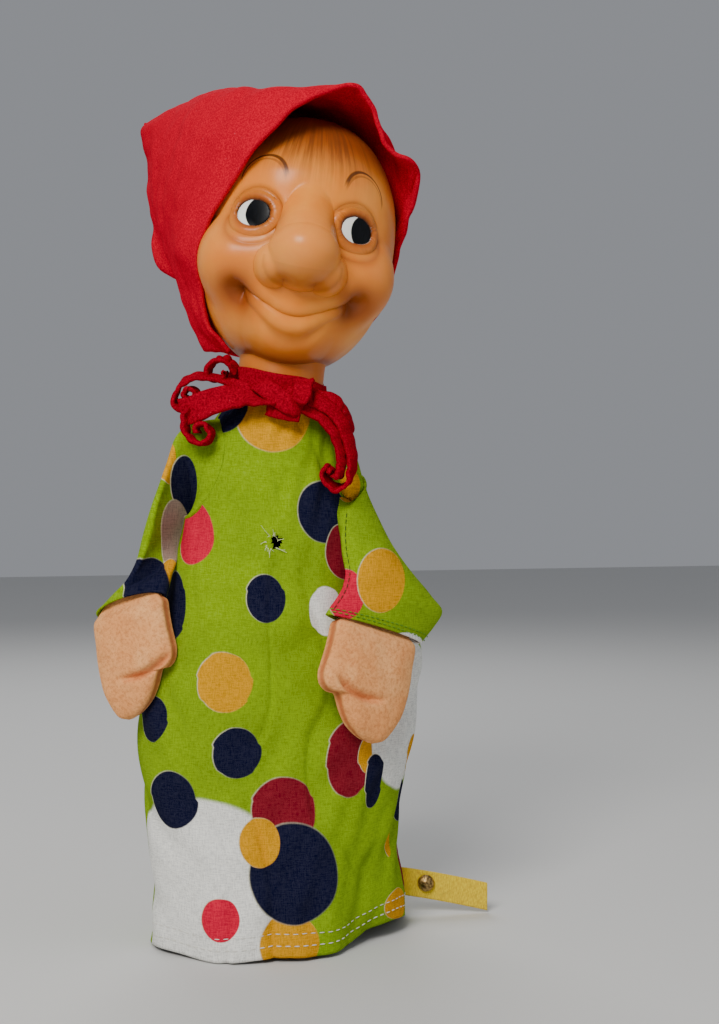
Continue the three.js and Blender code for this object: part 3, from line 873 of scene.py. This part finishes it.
def add_nose(radius, shade, d, t, l):
    """The bridge is a row of balls that grow towards the tip; the wings hold the nostrils."""
    for share in np.linspace(0, 1, 8):
        centre = (0.4 + 0.4 * share, -28.5 - 9.3 * share, 9 - 19 * share)
        size = 6.2 + 3.6 * share
        ball = ray_sphere(d, centre, np.array([size, 1.15 * size, size]))
        radius = soft_max(radius, ball, 3.6)
    nose = ray_sphere(d, (0.8, -36.5, -12.3), np.array([10.6, 13.1, 9.2]))
    base = radius
    radius = soft_max(radius, nose, 2.6 + 9 * smooth_step(l, -24, -8))
    for side in (-1, 1):
        wing = ray_sphere(d, (0.7 + side * 8.8, -33.4, -15.4), np.array([5.6, 8.6, 6]))
        radius = soft_max(radius, wing, 2.8)
        radius = radius - 1.8 * hump(t, l, (side * 7 + 1, -26.5), (2.8, 1.8))
        shade += 0.9 * hump(t, l, (side * 7 + 1, -26), (4.6, 2.8))
    under = (l < -19) * (np.abs(t) < 24)
    shade += 0.35 * bell(nose - base, 2.2) * under
    return radius


def add_mouth(radius, shade, t, l):
    """The smile's groove, the lip under it, and a dimple at each corner."""
    above, inside = smile_distance(t, l)
    groove = bell(above, 1.3) * inside
    radius = radius - 2.0 * groove
    radius = radius + 0.8 * bell(above + 3.8, 2.4) * inside
    radius = radius - 0.7 * bell(above + 10, 4.0) * inside * (1 - smooth_step(np.abs(t), 14, 28))
    radius = radius + 0.9 * bell(above - 4.0, 3.2) * inside
    shade += 0.8 * groove + 0.35 * bell(above + 8.5, 3.4) * inside * (1 - smooth_step(np.abs(t), 10, 26))
    for side in (-1, 1):
        corner = (side * 37.5 + 1.5, -36 + side * 1.5)
        radius = radius - 6.6 * hump(t, l, corner, (5.2, 5.4))
        shade += 1.9 * hump(t, l, corner, (8, 7.6))
        radius = radius + 1.0 * hump(t, l, (side * 46, -23), (8, 9))
    return radius


def add_eye(radius, shade, dt, dl):
    """The eyeball, its rim, the fold over it and the pouch below; dt and dl are from the eye's middle."""
    ring = np.hypot(dt / EYE["half_width"], dl / EYE["half_height"])
    upper = smooth_step(dl, -4, 4)
    radius = radius + (0.9 + 0.7 * upper) * bell(ring - 1.13, 0.11)
    radius = radius + 1.9 * np.sqrt(np.clip(1 - (ring / 1.15) ** 2, 0, 1))
    fold = np.hypot(dt / 15.5, (dl - 1.2) / 13.4)
    radius = radius - (0.35 + 0.5 * upper) * bell(fold - 1.0, 0.06)
    radius = radius + 0.6 * bell(fold - 0.86, 0.08)
    shade += (0.45 + 0.5 * upper) * bell(fold - 1.0, 0.11)
    shade += 0.3 * bell(ring - 1.3, 0.2)
    shade += 0.95 * bell(ring - 1.06, 0.06)
    pouch = np.hypot(dt / 17.5, (dl + 1.5) / 15.5)
    shade += 0.65 * bell(pouch - 1.0, 0.14) * (1 - upper)
    return radius - 0.4 * bell(pouch - 1.0, 0.1) * (1 - upper)


def add_neck(radius, lr, l):
    """The neck's tube, cut off level at its foot."""
    neck = np.minimum(NECK_RADIUS / np.maximum(np.cos(lr), 1e-3), 1e3)
    neck = np.where(l < -55, neck, 0)
    radius = soft_max(radius, neck, 3.0)
    floor = (HEAD_CENTRE - NECK_FOOT) / np.maximum(-np.sin(lr), 1e-3)
    return np.where(l < -60, np.minimum(radius, floor), radius)


def painted_vinyl():
    g = Graph("painted_vinyl", 0.4)
    uv = g.uv()
    at = g.position()
    mottled = g.noise(at, 55.0, 3)
    base = g.mix(g.ramp(mottled, 0.35, 0.7), linear(232, 132, 42), linear(240, 150, 58))
    shade = g.attribute("shade")
    colour = g.mix(g.math("MULTIPLY", shade, 0.88), base, linear(128, 52, 10))
    cheeks = [g.spot(uv, (x, -0.14), (0.2, 0.18), 0.9) for x in (0.46, -0.46)]
    rosy = g.math("MAXIMUM", g.spot(uv, (0, -0.17), (0.2, 0.14), 0.9), g.math("MAXIMUM", *cheeks))
    colour = g.mix(g.math("MULTIPLY", rosy, 0.25), colour, linear(222, 126, 62))
    # Painted highlight: a lighter patch over the nose.
    painted_nose_highlight = g.spot(uv, (-0.03, -0.13), (0.17, 0.12), 0.9)
    colour = g.mix(g.math("MULTIPLY", painted_nose_highlight, 0.22), colour, linear(250, 178, 96))
    # Airbrushed hair: brown streaks that fade down the forehead.
    streaks = g.noise(g.place(uv, (34, 1.6, 1)), 1.0, 4, 0.65)
    fade = g.ramp(g.parts(uv)[1], 0.14, 0.5)
    sides = g.spot(uv, (0.04, 0.5), (0.34, 0.4), 0.6)
    hair = g.math("MULTIPLY", g.math("MULTIPLY", g.ramp(streaks, 0.4, 0.62), fade), sides)
    colour = g.mix(g.math("MULTIPLY", hair, 0.85), colour, linear(112, 58, 26))
    black = 0.0
    for side in (-1, 1):
        colour, iris = painted_eye(g, uv, side, colour)
        colour = painted_brow(g, uv, side, colour)
        black = g.math("MAXIMUM", black, iris)
    g.colour(colour)
    g.feed(g.surface.inputs["Coat Weight"], g.math("MULTIPLY_ADD", black, -0.23, 0.26))
    grain = g.noise(at, 700.0, 3)
    dents = g.noise(at, 90.0, 2)
    g.bump(g.math("ADD", g.math("MULTIPLY", grain, 0.25), dents), 0.12, 0.0008)
    rough = g.ramp(g.noise(at, 120.0, 3), 0.3, 0.7, 0.34, 0.5)
    g.feed(g.surface.inputs["Roughness"], rough)
    g.set({"Subsurface Weight": 0.18, "Subsurface Scale": 1.0})
    g.set({"Subsurface Radius": (0.006, 0.0025, 0.0012)})
    g.set({"Specular IOR Level": 0.1, "Coat Roughness": 0.25})
    return g.material


def painted_eye(g, uv, side, colour):
    """White and a big dark iris, looking to the puppet's left."""
    x, y = side * EYE["turn"] / 100, EYE["lift"] / 100
    wide, high = EYE["half_width"] / 100, EYE["half_height"] / 100
    outline = g.spot(uv, (x, y), (wide * 1.06, high * 1.06), 0.03)
    white = g.spot(uv, (x, y - 0.004), (wide * 1.01, high * 0.98), 0.02)
    iris = g.math("MULTIPLY", g.spot(uv, (x + 0.032, y - 0.003), (0.074, high * 0.97), 0.03), white)
    height = g.parts(uv)[1]
    lash = g.ramp(height, y - 0.02, y + 0.03, 0.25, 0.95)
    colour = g.mix(g.math("MULTIPLY", outline, lash), colour, linear(26, 20, 22))
    brush = g.noise(g.place(uv, (90, 20, 1)), 1.0, 3)
    colour = g.mix(white, colour, linear(244, 240, 232))
    dark = g.mix(g.ramp(brush, 0.35, 0.75), linear(2, 3, 5), linear(8, 11, 18))
    return g.mix(iris, colour, dark), iris


def painted_brow(g, uv, side, colour):
    """A thin arched brow made of two overlapping strokes, the stronger one swelling towards the nose."""
    strokes = ((0.205, (0.135, 0.125), 0.07, 0.85), (0.188, (0.13, 0.12), 0.05, 0.4))
    for lift, radii, width, strength in strokes:
        centre = (side * 0.29 + 0.025, lift)
        local = g.ellipse(uv, centre, radii, side * -0.12)
        length = g.length(local)
        parts = g.parts(local)
        swell = g.ramp(g.math("MULTIPLY", parts[0], float(-side)), -0.6, 0.9, 0.6, 1.5)
        off = g.math("DIVIDE", g.math("ABSOLUTE", g.math("SUBTRACT", length, 1.0)), swell)
        ring = g.ramp(off, width * 0.4, width, strength, 0.0)
        stroke = g.math("MULTIPLY", ring, g.ramp(parts[1], 0.0, 0.35))
        colour = g.mix(stroke, colour, linear(58, 26, 10))
    return colour


# ---- Kerchief ----

# Ribs of the felt from its front edge to its rear point.
# Each starts under the right ear and runs over the top.
KERCHIEF_RIBS = [
    [[-18.5, 5, 208], [-30, 3, 221], [-37.5, -6, 238.5], [-35.5, -18, 256.5], [-29, -29, 273.5],
     [-18.5, -34.5, 289],
     [-1, -36, 301], [8.5, -34, 297], [16, -31, 286], [30, -28.5, 281.5], [36.5, -16, 266],
     [31.5, -5, 246], [12, 14, 208]],
    [[-22, 13, 208.5], [-32.5, 12, 223], [-41.5, 8, 240], [-42.5, -3, 258], [-38, -14, 278],
     [-27, -19, 295.5],
     [-8, -20, 300], [10, -18, 297.8], [24, -17, 288], [32, -13, 273], [35, 4, 252], [28, 14, 226],
     [16, 18, 209]],
    [[-22, 25, 211], [-32, 24, 225], [-41, 22, 242], [-45, 15, 260], [-44, 6, 280], [-34, 3, 300],
     [-15, 4, 303.4], [4, 5, 301], [21, 6, 290], [32, 11, 273], [37, 19, 250], [29, 26, 228],
     [19, 25, 211]],
    [[-12, 33, 212], [-25, 34, 227], [-39, 35, 244], [-46, 31, 262], [-47, 25, 280], [-42, 22, 299],
     [-25, 27, 308.2], [-5, 27, 301.5], [13, 28, 289], [24, 29, 272], [29, 33, 250], [22, 35, 227],
     [9, 33, 212]],
    [[-2, 36, 212], [-10, 43, 228], [-31, 47, 242], [-44, 45, 262], [-48, 43, 280], [-47.5, 42, 297],
     [-38.5, 45, 304], [-27, 46, 297], [-14, 44, 284], [-5, 44, 265], [4, 45, 246], [6, 43, 229],
     [2, 36, 212]],
    [[0, 41, 221], [-11, 51, 236], [-36, 56, 243], [-42.6, 58.4, 262], [-46.6, 60.6, 280],
     [-50, 61.4, 294.8],
     [-49.8, 62, 298.6], [-49, 61.6, 294.8], [-45.6, 60.8, 280], [-41.6, 58.6, 262], [-35, 56.4, 244.4],
     [-10, 51.4, 237], [1, 41.4, 222]],
]


def kerchief():
    net = spline(np.array(KERCHIEF_RIBS, float), 90)
    net = np.swapaxes(spline(np.swapaxes(net, 0, 1), 170), 0, 1)
    # Keep the felt just clear of the crown.
    stem = turn(net - [0, 0, HEAD_CENTRE], -HEAD_TURN)
    size = HEAD_SIZE + (1.9 + 1.6 * smooth_step(net[..., 2], 232, 241))[..., None]
    inside = (np.abs(stem / size) ** HEAD_POWER).sum(-1) ** (1 / HEAD_POWER)
    push = np.maximum(1, 1 / np.maximum(inside, 1e-6))[..., None]
    net = [0, 0, HEAD_CENTRE] + (net - [0, 0, HEAD_CENTRE]) * push
    rows, cols = net.shape[:2]
    u, v = np.meshgrid(np.arange(cols) * 1.6, np.arange(rows) * 1.1)
    normal = grid_normals(net)
    net = net + normal * (0.7 * ripples(u, v, 42, 41) + 0.3 * ripples(u, v, 15, 43))[..., None]
    net = lean_head(net)
    obj = grid_object("kerchief_felt", net)
    thicken(obj, THICKNESS["kerchief"])
    dress(obj, felt("kerchief_felt", linear(220, 0, 46), linear(166, 0, 32)))
    return obj


# ---- Neck tie ----

TIE_TURN = VIEW
# Each strip: name, CAD nodes, width, width directions at its two ends, then its path from the knot or band.
# The paths lie in the frame that faces the puppet's right front: across, away from it, up.
TIE_STRIPS = [
    ("tie_curl_felt", ["tie_curl_right"], 7, (0.3, 0.9, 0.2), (0.1, 0.95, 0.2),
     [[-14.5, -12, 202], [-16.4, -13, 204.6], [-18.8, -14, 206], [-21.8, -14.5, 205],
     [-23.9, -14.5, 201.8],
      [-21.8, -14.5, 199.6], [-19, -14, 200.4], [-18.4, -14, 202]]),
    ("tie_loop_right_felt", ["tie_loop_right"], 7, (0, 0.9, 0.4), (0, 1, 0.1),
     [[-14, -16.5, 197], [-22.6, -17.5, 199.4], [-28, -18, 199.6], [-32, -18.5, 197.7],
     [-34.6, -18.5, 194],
      [-34.8, -19, 190], [-32, -19, 188.4], [-28.7, -19, 191], [-28.2, -19, 194], [-30.4, -19, 195.4],
      [-32, -19, 193.6], [-30.6, -19, 192]]),
    ("tie_tail_right_felt", ["tie_tail_right"], 6, (0.3, 0.9, 0.1), (0.1, 1, 0),
     [[-29.5, -23.5, 188], [-30.8, -23.5, 184], [-30.6, -23.5, 180.6], [-28.7, -23.5, 177.6],
     [-25, -23.5, 176.2],
      [-22.6, -23.5, 178.8], [-24, -23.5, 182.1], [-26.9, -23.5, 182], [-26.6, -23.5, 179.6]]),
    ("tie_loop_left_felt", ["tie_loop_left"], 7, (0.1, 0.5, 0.85), (0.35, 0.85, 0.2),
     [[12, -20, 192.4], [16.2, -19, 192.4], [21.5, -17.5, 190.6], [24.8, -16, 186.6],
     [26.4, -15.5, 181.7],
      [25.8, -15.5, 178.6]]),
    ("tie_tail_inner_felt", ["tie_tail_left_inner"], 6, (0.5, 0.6, 0.6), (0.3, 0.95, 0),
     [[9, -24, 190], [12.5, -24, 188], [17.2, -23.5, 185], [21.2, -23, 179.6], [23.4, -22.5, 173.1],
      [23.8, -22.5, 167.5], [22.2, -22.5, 164], [20.2, -22.5, 165.2]]),
    ("tie_tail_outer_felt", ["tie_tail_left_outer"], 6.5, (0.4, 0.6, 0.7), (0.2, 1, 0),
     [[12, -22.5, 191.6], [16.2, -22, 190.4], [21.5, -21, 186.6], [25.2, -20, 180.2], [27.2, -20, 173.1],
      [27.4, -20, 166.5], [25.4, -20.5, 161.8], [21.9, -21, 160.2], [18.4, -21, 162.2], [16.9, -21, 166],
      [18.6, -21, 168.4], [20.6, -21, 166.4], [19.2, -21, 164.9]]),
    ("tie_front_felt", ["tie_front_strip"], 9.5, (0.1, 0.95, 0.35), (-0.3, -0.2, 0.95),
     [[0.5, -23.6, 190.8], [-5, -24, 191.6], [-11, -24.4, 192], [-17, -24.8, 191.6], [-23, -24.8, 190],
      [-28.4, -24.4, 187.8], [-32.6, -23.6, 186.8]]),
    ("tie_end_felt", ["tie_short_end"], 5, (-0.1, 0.1, 1), (0, 0.1, 1),
     [[-2.6, -24.6, 188.4], [0.5, -25.4, 187.4], [4, -25.8, 186.6], [9, -25.6, 185.8]]),
]
KNOT_STRIPS = [
    (7, (0.55, 0.5, 0.65), (0.3, 0.1, 0.95),
     [[-6, -21.6, 197.2], [-3.6, -24.4, 196], [0.4, -26, 192.8], [4.6, -26.8, 189.8], [8, -26.4, 188.8]]),
    (6.5, (0.3, -0.3, 0.9), (1, 0.1, 0.1),
     [[4, -26.4, 188.6], [7.4, -27.4, 188.6], [9.6, -27, 191], [10, -25.4, 194.4], [10.6, -20.5, 198.4]]),
    (6, (0, 0.3, 0.95), (0.2, 0.2, 0.95),
     [[-16.6, -17, 196.6], [-11, -21.5, 194.6], [-5, -23, 192.8], [1, -23.6, 191.6], [6, -23.2, 191.4]]),
    (6.5, (0.3, 0.4, 0.85), (0.2, 0.6, 0.75),
     [[4, -23.6, 193.4], [8, -23.4, 192.4], [12, -22, 191.6], [16, -20.4, 191.4]]),
]


def tie_points(path, width, first, last, seed):
    curve = spline(np.array(path, float), 14 * len(path))
    mix = np.linspace(0, 1, len(curve))[:, None]
    direction = np.asarray(first, float) * (1 - mix) + np.asarray(last, float) * mix
    forward = np.gradient(curve, axis=0)
    forward /= np.linalg.norm(forward, axis=1, keepdims=True)
    direction = direction - forward * (direction * forward).sum(1, keepdims=True)
    direction /= np.linalg.norm(direction, axis=1, keepdims=True)
    s = np.linspace(-0.5, 0.5, 9)
    points = curve[:, None] + direction[:, None] * (s * width)[None, :, None]
    step = np.arange(len(curve))[:, None] * 0.7
    wave = 0.3 * ripples(s[None, :] * width, step, 9, seed) + 0.5 * (2 * s[None, :]) ** 2
    return turn(points + grid_normals(points) * wave[..., None], TIE_TURN)


def tie_strip(name, path, width, first, last, seed):
    points = tie_points(path, width, first, last, seed)
    obj = grid_object(name, points)
    thicken(obj, THICKNESS["tie"])
    return obj


def bend_at_neck(obj):
    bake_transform(obj)


def tie_band():
    """The band round the neck, lower at the puppet's left, with the tie string under it."""
    phi = np.linspace(0, 2 * math.pi, 160, endpoint=False)[None, :]
    s = np.linspace(-0.5, 0.5, 12)[:, None]
    r = 17.3 - 1.1 * s + 0.3 * ripples(phi * 18, s * 7, 14, 61)
    u, w = r * np.cos(phi), r * np.sin(phi)
    slope = np.where(w < 6, 0.2, 0.12)
    z = 197.6 + 7.6 * s - slope * u + 0.3 * np.sin(phi * 5)
    points = turn(np.stack([u, w, z], -1), TIE_TURN)
    obj = grid_object("tie_band_felt", points, wrap=True)
    thicken(obj, THICKNESS["tie"])
    return obj


def twisted_string(name, radius, thick, z):
    """A two-ply string tied round the neck."""
    phi = np.linspace(0, 2 * math.pi, 260, endpoint=False)[:, None]
    ring = np.linspace(0, 2 * math.pi, 14, endpoint=False)[None, :]
    lobes = thick * (1 + 0.25 * np.cos(2 * ring + phi * 60))
    r = radius + lobes * np.cos(ring)
    points = np.stack([r * np.cos(phi), r * np.sin(phi), z + lobes * np.sin(ring)], -1)
    closed = np.concatenate([points, points[:1]])
    return grid_object(name, closed, wrap=True)


def tie(material):
    pieces = []
    for k, (name, nodes, width, first, last, path) in enumerate(TIE_STRIPS):
        obj = tie_strip(name, path, width, first, last, 51 + k)
        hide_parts(*nodes)
        pieces.append(obj)
    for k, (width, first, last, path) in enumerate(KNOT_STRIPS):
        obj = tie_strip("tie_knot_fold_%d" % (k + 1), path, width, first, last, 81 + k)
        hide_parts("tie_knot")
        pieces.append(obj)
    band = tie_band()
    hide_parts("tie_band")
    pieces.append(band)
    for obj in pieces:
        dress(obj, material)
        bend_at_neck(obj)
    string = twisted_string("neck_string", 15.4, 0.45, 193.6)
    dress(string, thread_material("string_thread", linear(150, 20, 40)))
    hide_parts("neck_cord")
    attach(string, "collar")


# ---- Label ----


def woven_tape():
    g = Graph("woven_tape", 0.75)
    uv = g.uv()
    rib = g.math("SINE", g.math("MULTIPLY", g.parts(uv)[1], 1200.0))
    fine = g.noise(g.place(uv, (300, 60, 1)), 1.0, 3)
    tone = g.mix(g.ramp(fine, 0.3, 0.7), linear(206, 164, 0), linear(244, 214, 0))
    worn = g.mix(g.ramp(g.noise(uv, 22.0, 3), 0.55, 0.8, 0.0, 0.5), tone, linear(150, 120, 40))
    g.colour(worn)
    g.bump(g.math("MULTIPLY_ADD", rib, 0.3, fine), 0.5, 0.0004)
    g.set({"Sheen Weight": 0.3})
    return g.material


def label():
    seam = np.array(JOINTS["label_swing"]["pos_m"]) * 1000 - AXIS * 1000
    angle = math.radians(-20)
    along = np.array([math.cos(angle), math.sin(angle), 0])
    side = np.array([-math.sin(angle), math.cos(angle), 0])
    s = np.linspace(-7, 30, 60)[:, None]
    w = np.linspace(-5.2, 5.2, 16)[None, :]
    sag = 0.4 - 0.17 * s - 1.4 * (np.abs(s) / 36) ** 1.6
    curl = 1.2 * np.sin(s / 36 * 2.4) + 0.25 * (w / 5.2) ** 2
    up = np.array([0, 0, 1.0])
    points = seam + along * s[..., None] + side * (curl - 0.2)[..., None] + up * (w + sag)[..., None]
    obj = grid_object("label_tape", points, np.stack([s / 100 + 0 * w, w / 100 + 0 * s], -1))
    thicken(obj, THICKNESS["label"])
    dress(obj, woven_tape())
    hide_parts("side_label")
    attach(obj, "label_tab")


def aged_brass():
    g = Graph("aged_brass", 0.42, 0.9)
    at = g.position()
    wear = g.noise(at, 900.0, 4)
    g.colour(g.mix(g.ramp(wear, 0.35, 0.65), linear(96, 74, 42), linear(178, 148, 92)))
    g.bump(g.noise(at, 1800.0, 3), 0.25, 0.0002)
    return g.material


def card_material():
    g = Graph("rolled_card", 0.9)
    at = g.position()
    g.colour(g.mix(g.noise(at, 400.0, 4), linear(150, 126, 92), linear(190, 166, 128)))
    g.bump(g.noise(at, 900.0, 3), 0.3, 0.0003)
    return g.material


# ---- Build ----


def build_dress():
    white = thread_material("white_thread", linear(232, 230, 220))
    panels = (("dress_front_cloth", True, FRONT_DOTS, ["dress_front", "dress_neck_gather"]),
              ("dress_back_cloth", False, BACK_DOTS, ["dress_back"]))
    for name, front, dots, nodes in panels:
        obj, points, out = dress_panel(name, front, dots)
        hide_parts(*nodes)
        bend_at_neck(obj)
        for k, height in enumerate(HEM_STITCH_HEIGHTS):
            row = int(np.abs(PANEL_HEIGHTS - height).argmin())
            path = points[row] + out[row] * 0.55
            hem = stitches("%s_hem_%d" % (name, k + 1), path, 1.9, 1.2, 0.2 - 0.04 * k, white)
            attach(hem, "torso")
    frayed_threads()


def frayed_threads():
    """Loose thread ends round the moth hole."""
    rng = np.random.default_rng(9)
    depth = 31  # the panel's bend there: millimetres across for one radian
    angle = math.pi / 2 - HOLE["across"] / depth
    verts, faces = [], []
    for _ in range(18):
        turn_at = rng.uniform(0, 2 * math.pi)
        across = math.cos(turn_at) * HOLE["half_width"] * rng.uniform(0.95, 1.3)
        up = math.sin(turn_at) * HOLE["half_height"] * rng.uniform(0.95, 1.3)
        start = dress_surface(np.array(angle - across / depth), np.array(HOLE["up"] + up))
        reach = rng.uniform(1.2, 3.4)
        bend = rng.uniform(-1.5, 1.5, 3)
        t = np.linspace(0, 1, 9)[:, None]
        heading = np.array([math.cos(turn_at + rng.uniform(-1.4, 1.4)), -0.25, math.sin(turn_at) * 0.9])
        path = start + [0, -0.5, 0] + heading * reach * t + bend * t**2 * [1, 0.25, 1]
        path[:, 1] = np.minimum(path[:, 1], start[1] - 0.4)
        base = len(verts)
        for k in range(9):
            thick = 0.11 * (1 - 0.4 * t[k, 0])
            for m in range(4):
                a = m * math.pi / 2
                verts.append(path[k] + thick * np.array([math.cos(a), math.sin(a) * 0.7, math.sin(a)]))
        faces += tube_faces(base, 9, 4)
    obj = mesh_object("frayed_threads", np.array(verts), faces, smooth=False)
    dress(obj, thread_material("frayed_thread", linear(226, 236, 170)))
    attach(obj, "torso")


def build_arms():
    plush = velour("plush")
    dark_thread = thread_material("dark_green_thread", linear(40, 66, 8))
    wrist_thread = {"right": thread_material("pale_thread", linear(226, 226, 222)),
                    "left": thread_material("green_thread", linear(96, 150, 20))}
    for side in ("right", "left"):
        cloth, points, out = sleeve(side)
        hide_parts(side + "_sleeve_front", side + "_sleeve_back")
        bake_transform(cloth)
        front = points.shape[1] // 2
        for k, row in enumerate((-3, -5)):
            path = points[row, 1:front] + out[row, 1:front] * 0.3
            name = "%s_wrist_stitches_%d" % (side, k + 1)
            wrist = stitches(name, path, 1.5, 0.7, 0.2, wrist_thread[side])
            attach(wrist, side + "_arm")
        if side == "left":
            path = points[24:-3, front - 6] + out[24:-3, front - 6] * 0.25
            seam = stitches("left_sleeve_seam", path, 1.9, 0.5, 0.14, dark_thread)
            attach(seam, "left_arm")
        mitt = hand(side)
        dress(mitt, plush)
        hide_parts(side + "_hand_back", side + "_hand_palm")
        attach(mitt, side + "_hand")


def build_head():
    head = head_vinyl()
    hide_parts("head_shell")
    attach(head, "head")
    hood = kerchief()
    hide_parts("kerchief")
    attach(hood, "head")


# Name, place in metres, size, power and colour.
LAMPS = (
    ("key", (-0.6, -0.72, 0.8), 0.45, 13.5, (1.0, 0.97, 0.93)),
    ("fill", (0.8, -0.6, 0.45), 0.8, 1.3, (0.95, 0.97, 1.0)),
    ("back", (0.1, 0.8, 0.9), 0.6, 4.5, (1.0, 1.0, 1.0)),
)
LAMP_TARGET = (0, 0, 0.17)


def build_stage():
    bpy.ops.mesh.primitive_plane_add(size=6, location=(0, 0, -0.0004))
    floor = bpy.context.object
    floor.name = "floor"
    g = Graph("floor", 0.8)
    g.set({"Base Color": linear(206, 206, 204)})
    dress(floor, g.material)
    world = bpy.data.worlds.new("studio")
    bpy.context.scene.world = world
    world.use_nodes = True
    sky = world.node_tree.nodes["Background"].inputs
    sky[0].default_value = (0.9, 0.93, 1.0, 1)
    sky[1].default_value = 0.3
    for name, where, size, power, colour in LAMPS:
        lamp = bpy.data.lights.new(name, "AREA")
        lamp.size = size
        lamp.energy = power
        lamp.color = colour
        obj = bpy.data.objects.new(name, lamp)
        bpy.context.collection.objects.link(obj)
        obj.location = where
        aim(obj, LAMP_TARGET)


def aim(obj, target):
    obj.rotation_euler = (Vector(target) - obj.location).to_track_quat("-Z", "Y").to_euler()


def build_camera():
    camera = bpy.data.cameras.new("camera")
    camera.lens = 52.03
    camera.sensor_width = 36
    obj = bpy.data.objects.new("camera", camera)
    bpy.context.collection.objects.link(obj)
    obj.location = place(*CAMERA)
    obj.rotation_euler = (math.pi / 2, 0, VIEW)
    bpy.context.scene.camera = obj


build_camera()
build_stage()
build_dress()
build_arms()
build_head()
tie(felt("tie_felt", linear(178, 0, 36), linear(118, 0, 22)))
label()

brass = aged_brass()
for node in ("label_rivet", "rivet_washer"):
    dress(bpy.data.objects[node], brass)
dress(bpy.data.objects["finger_tube"], card_material())
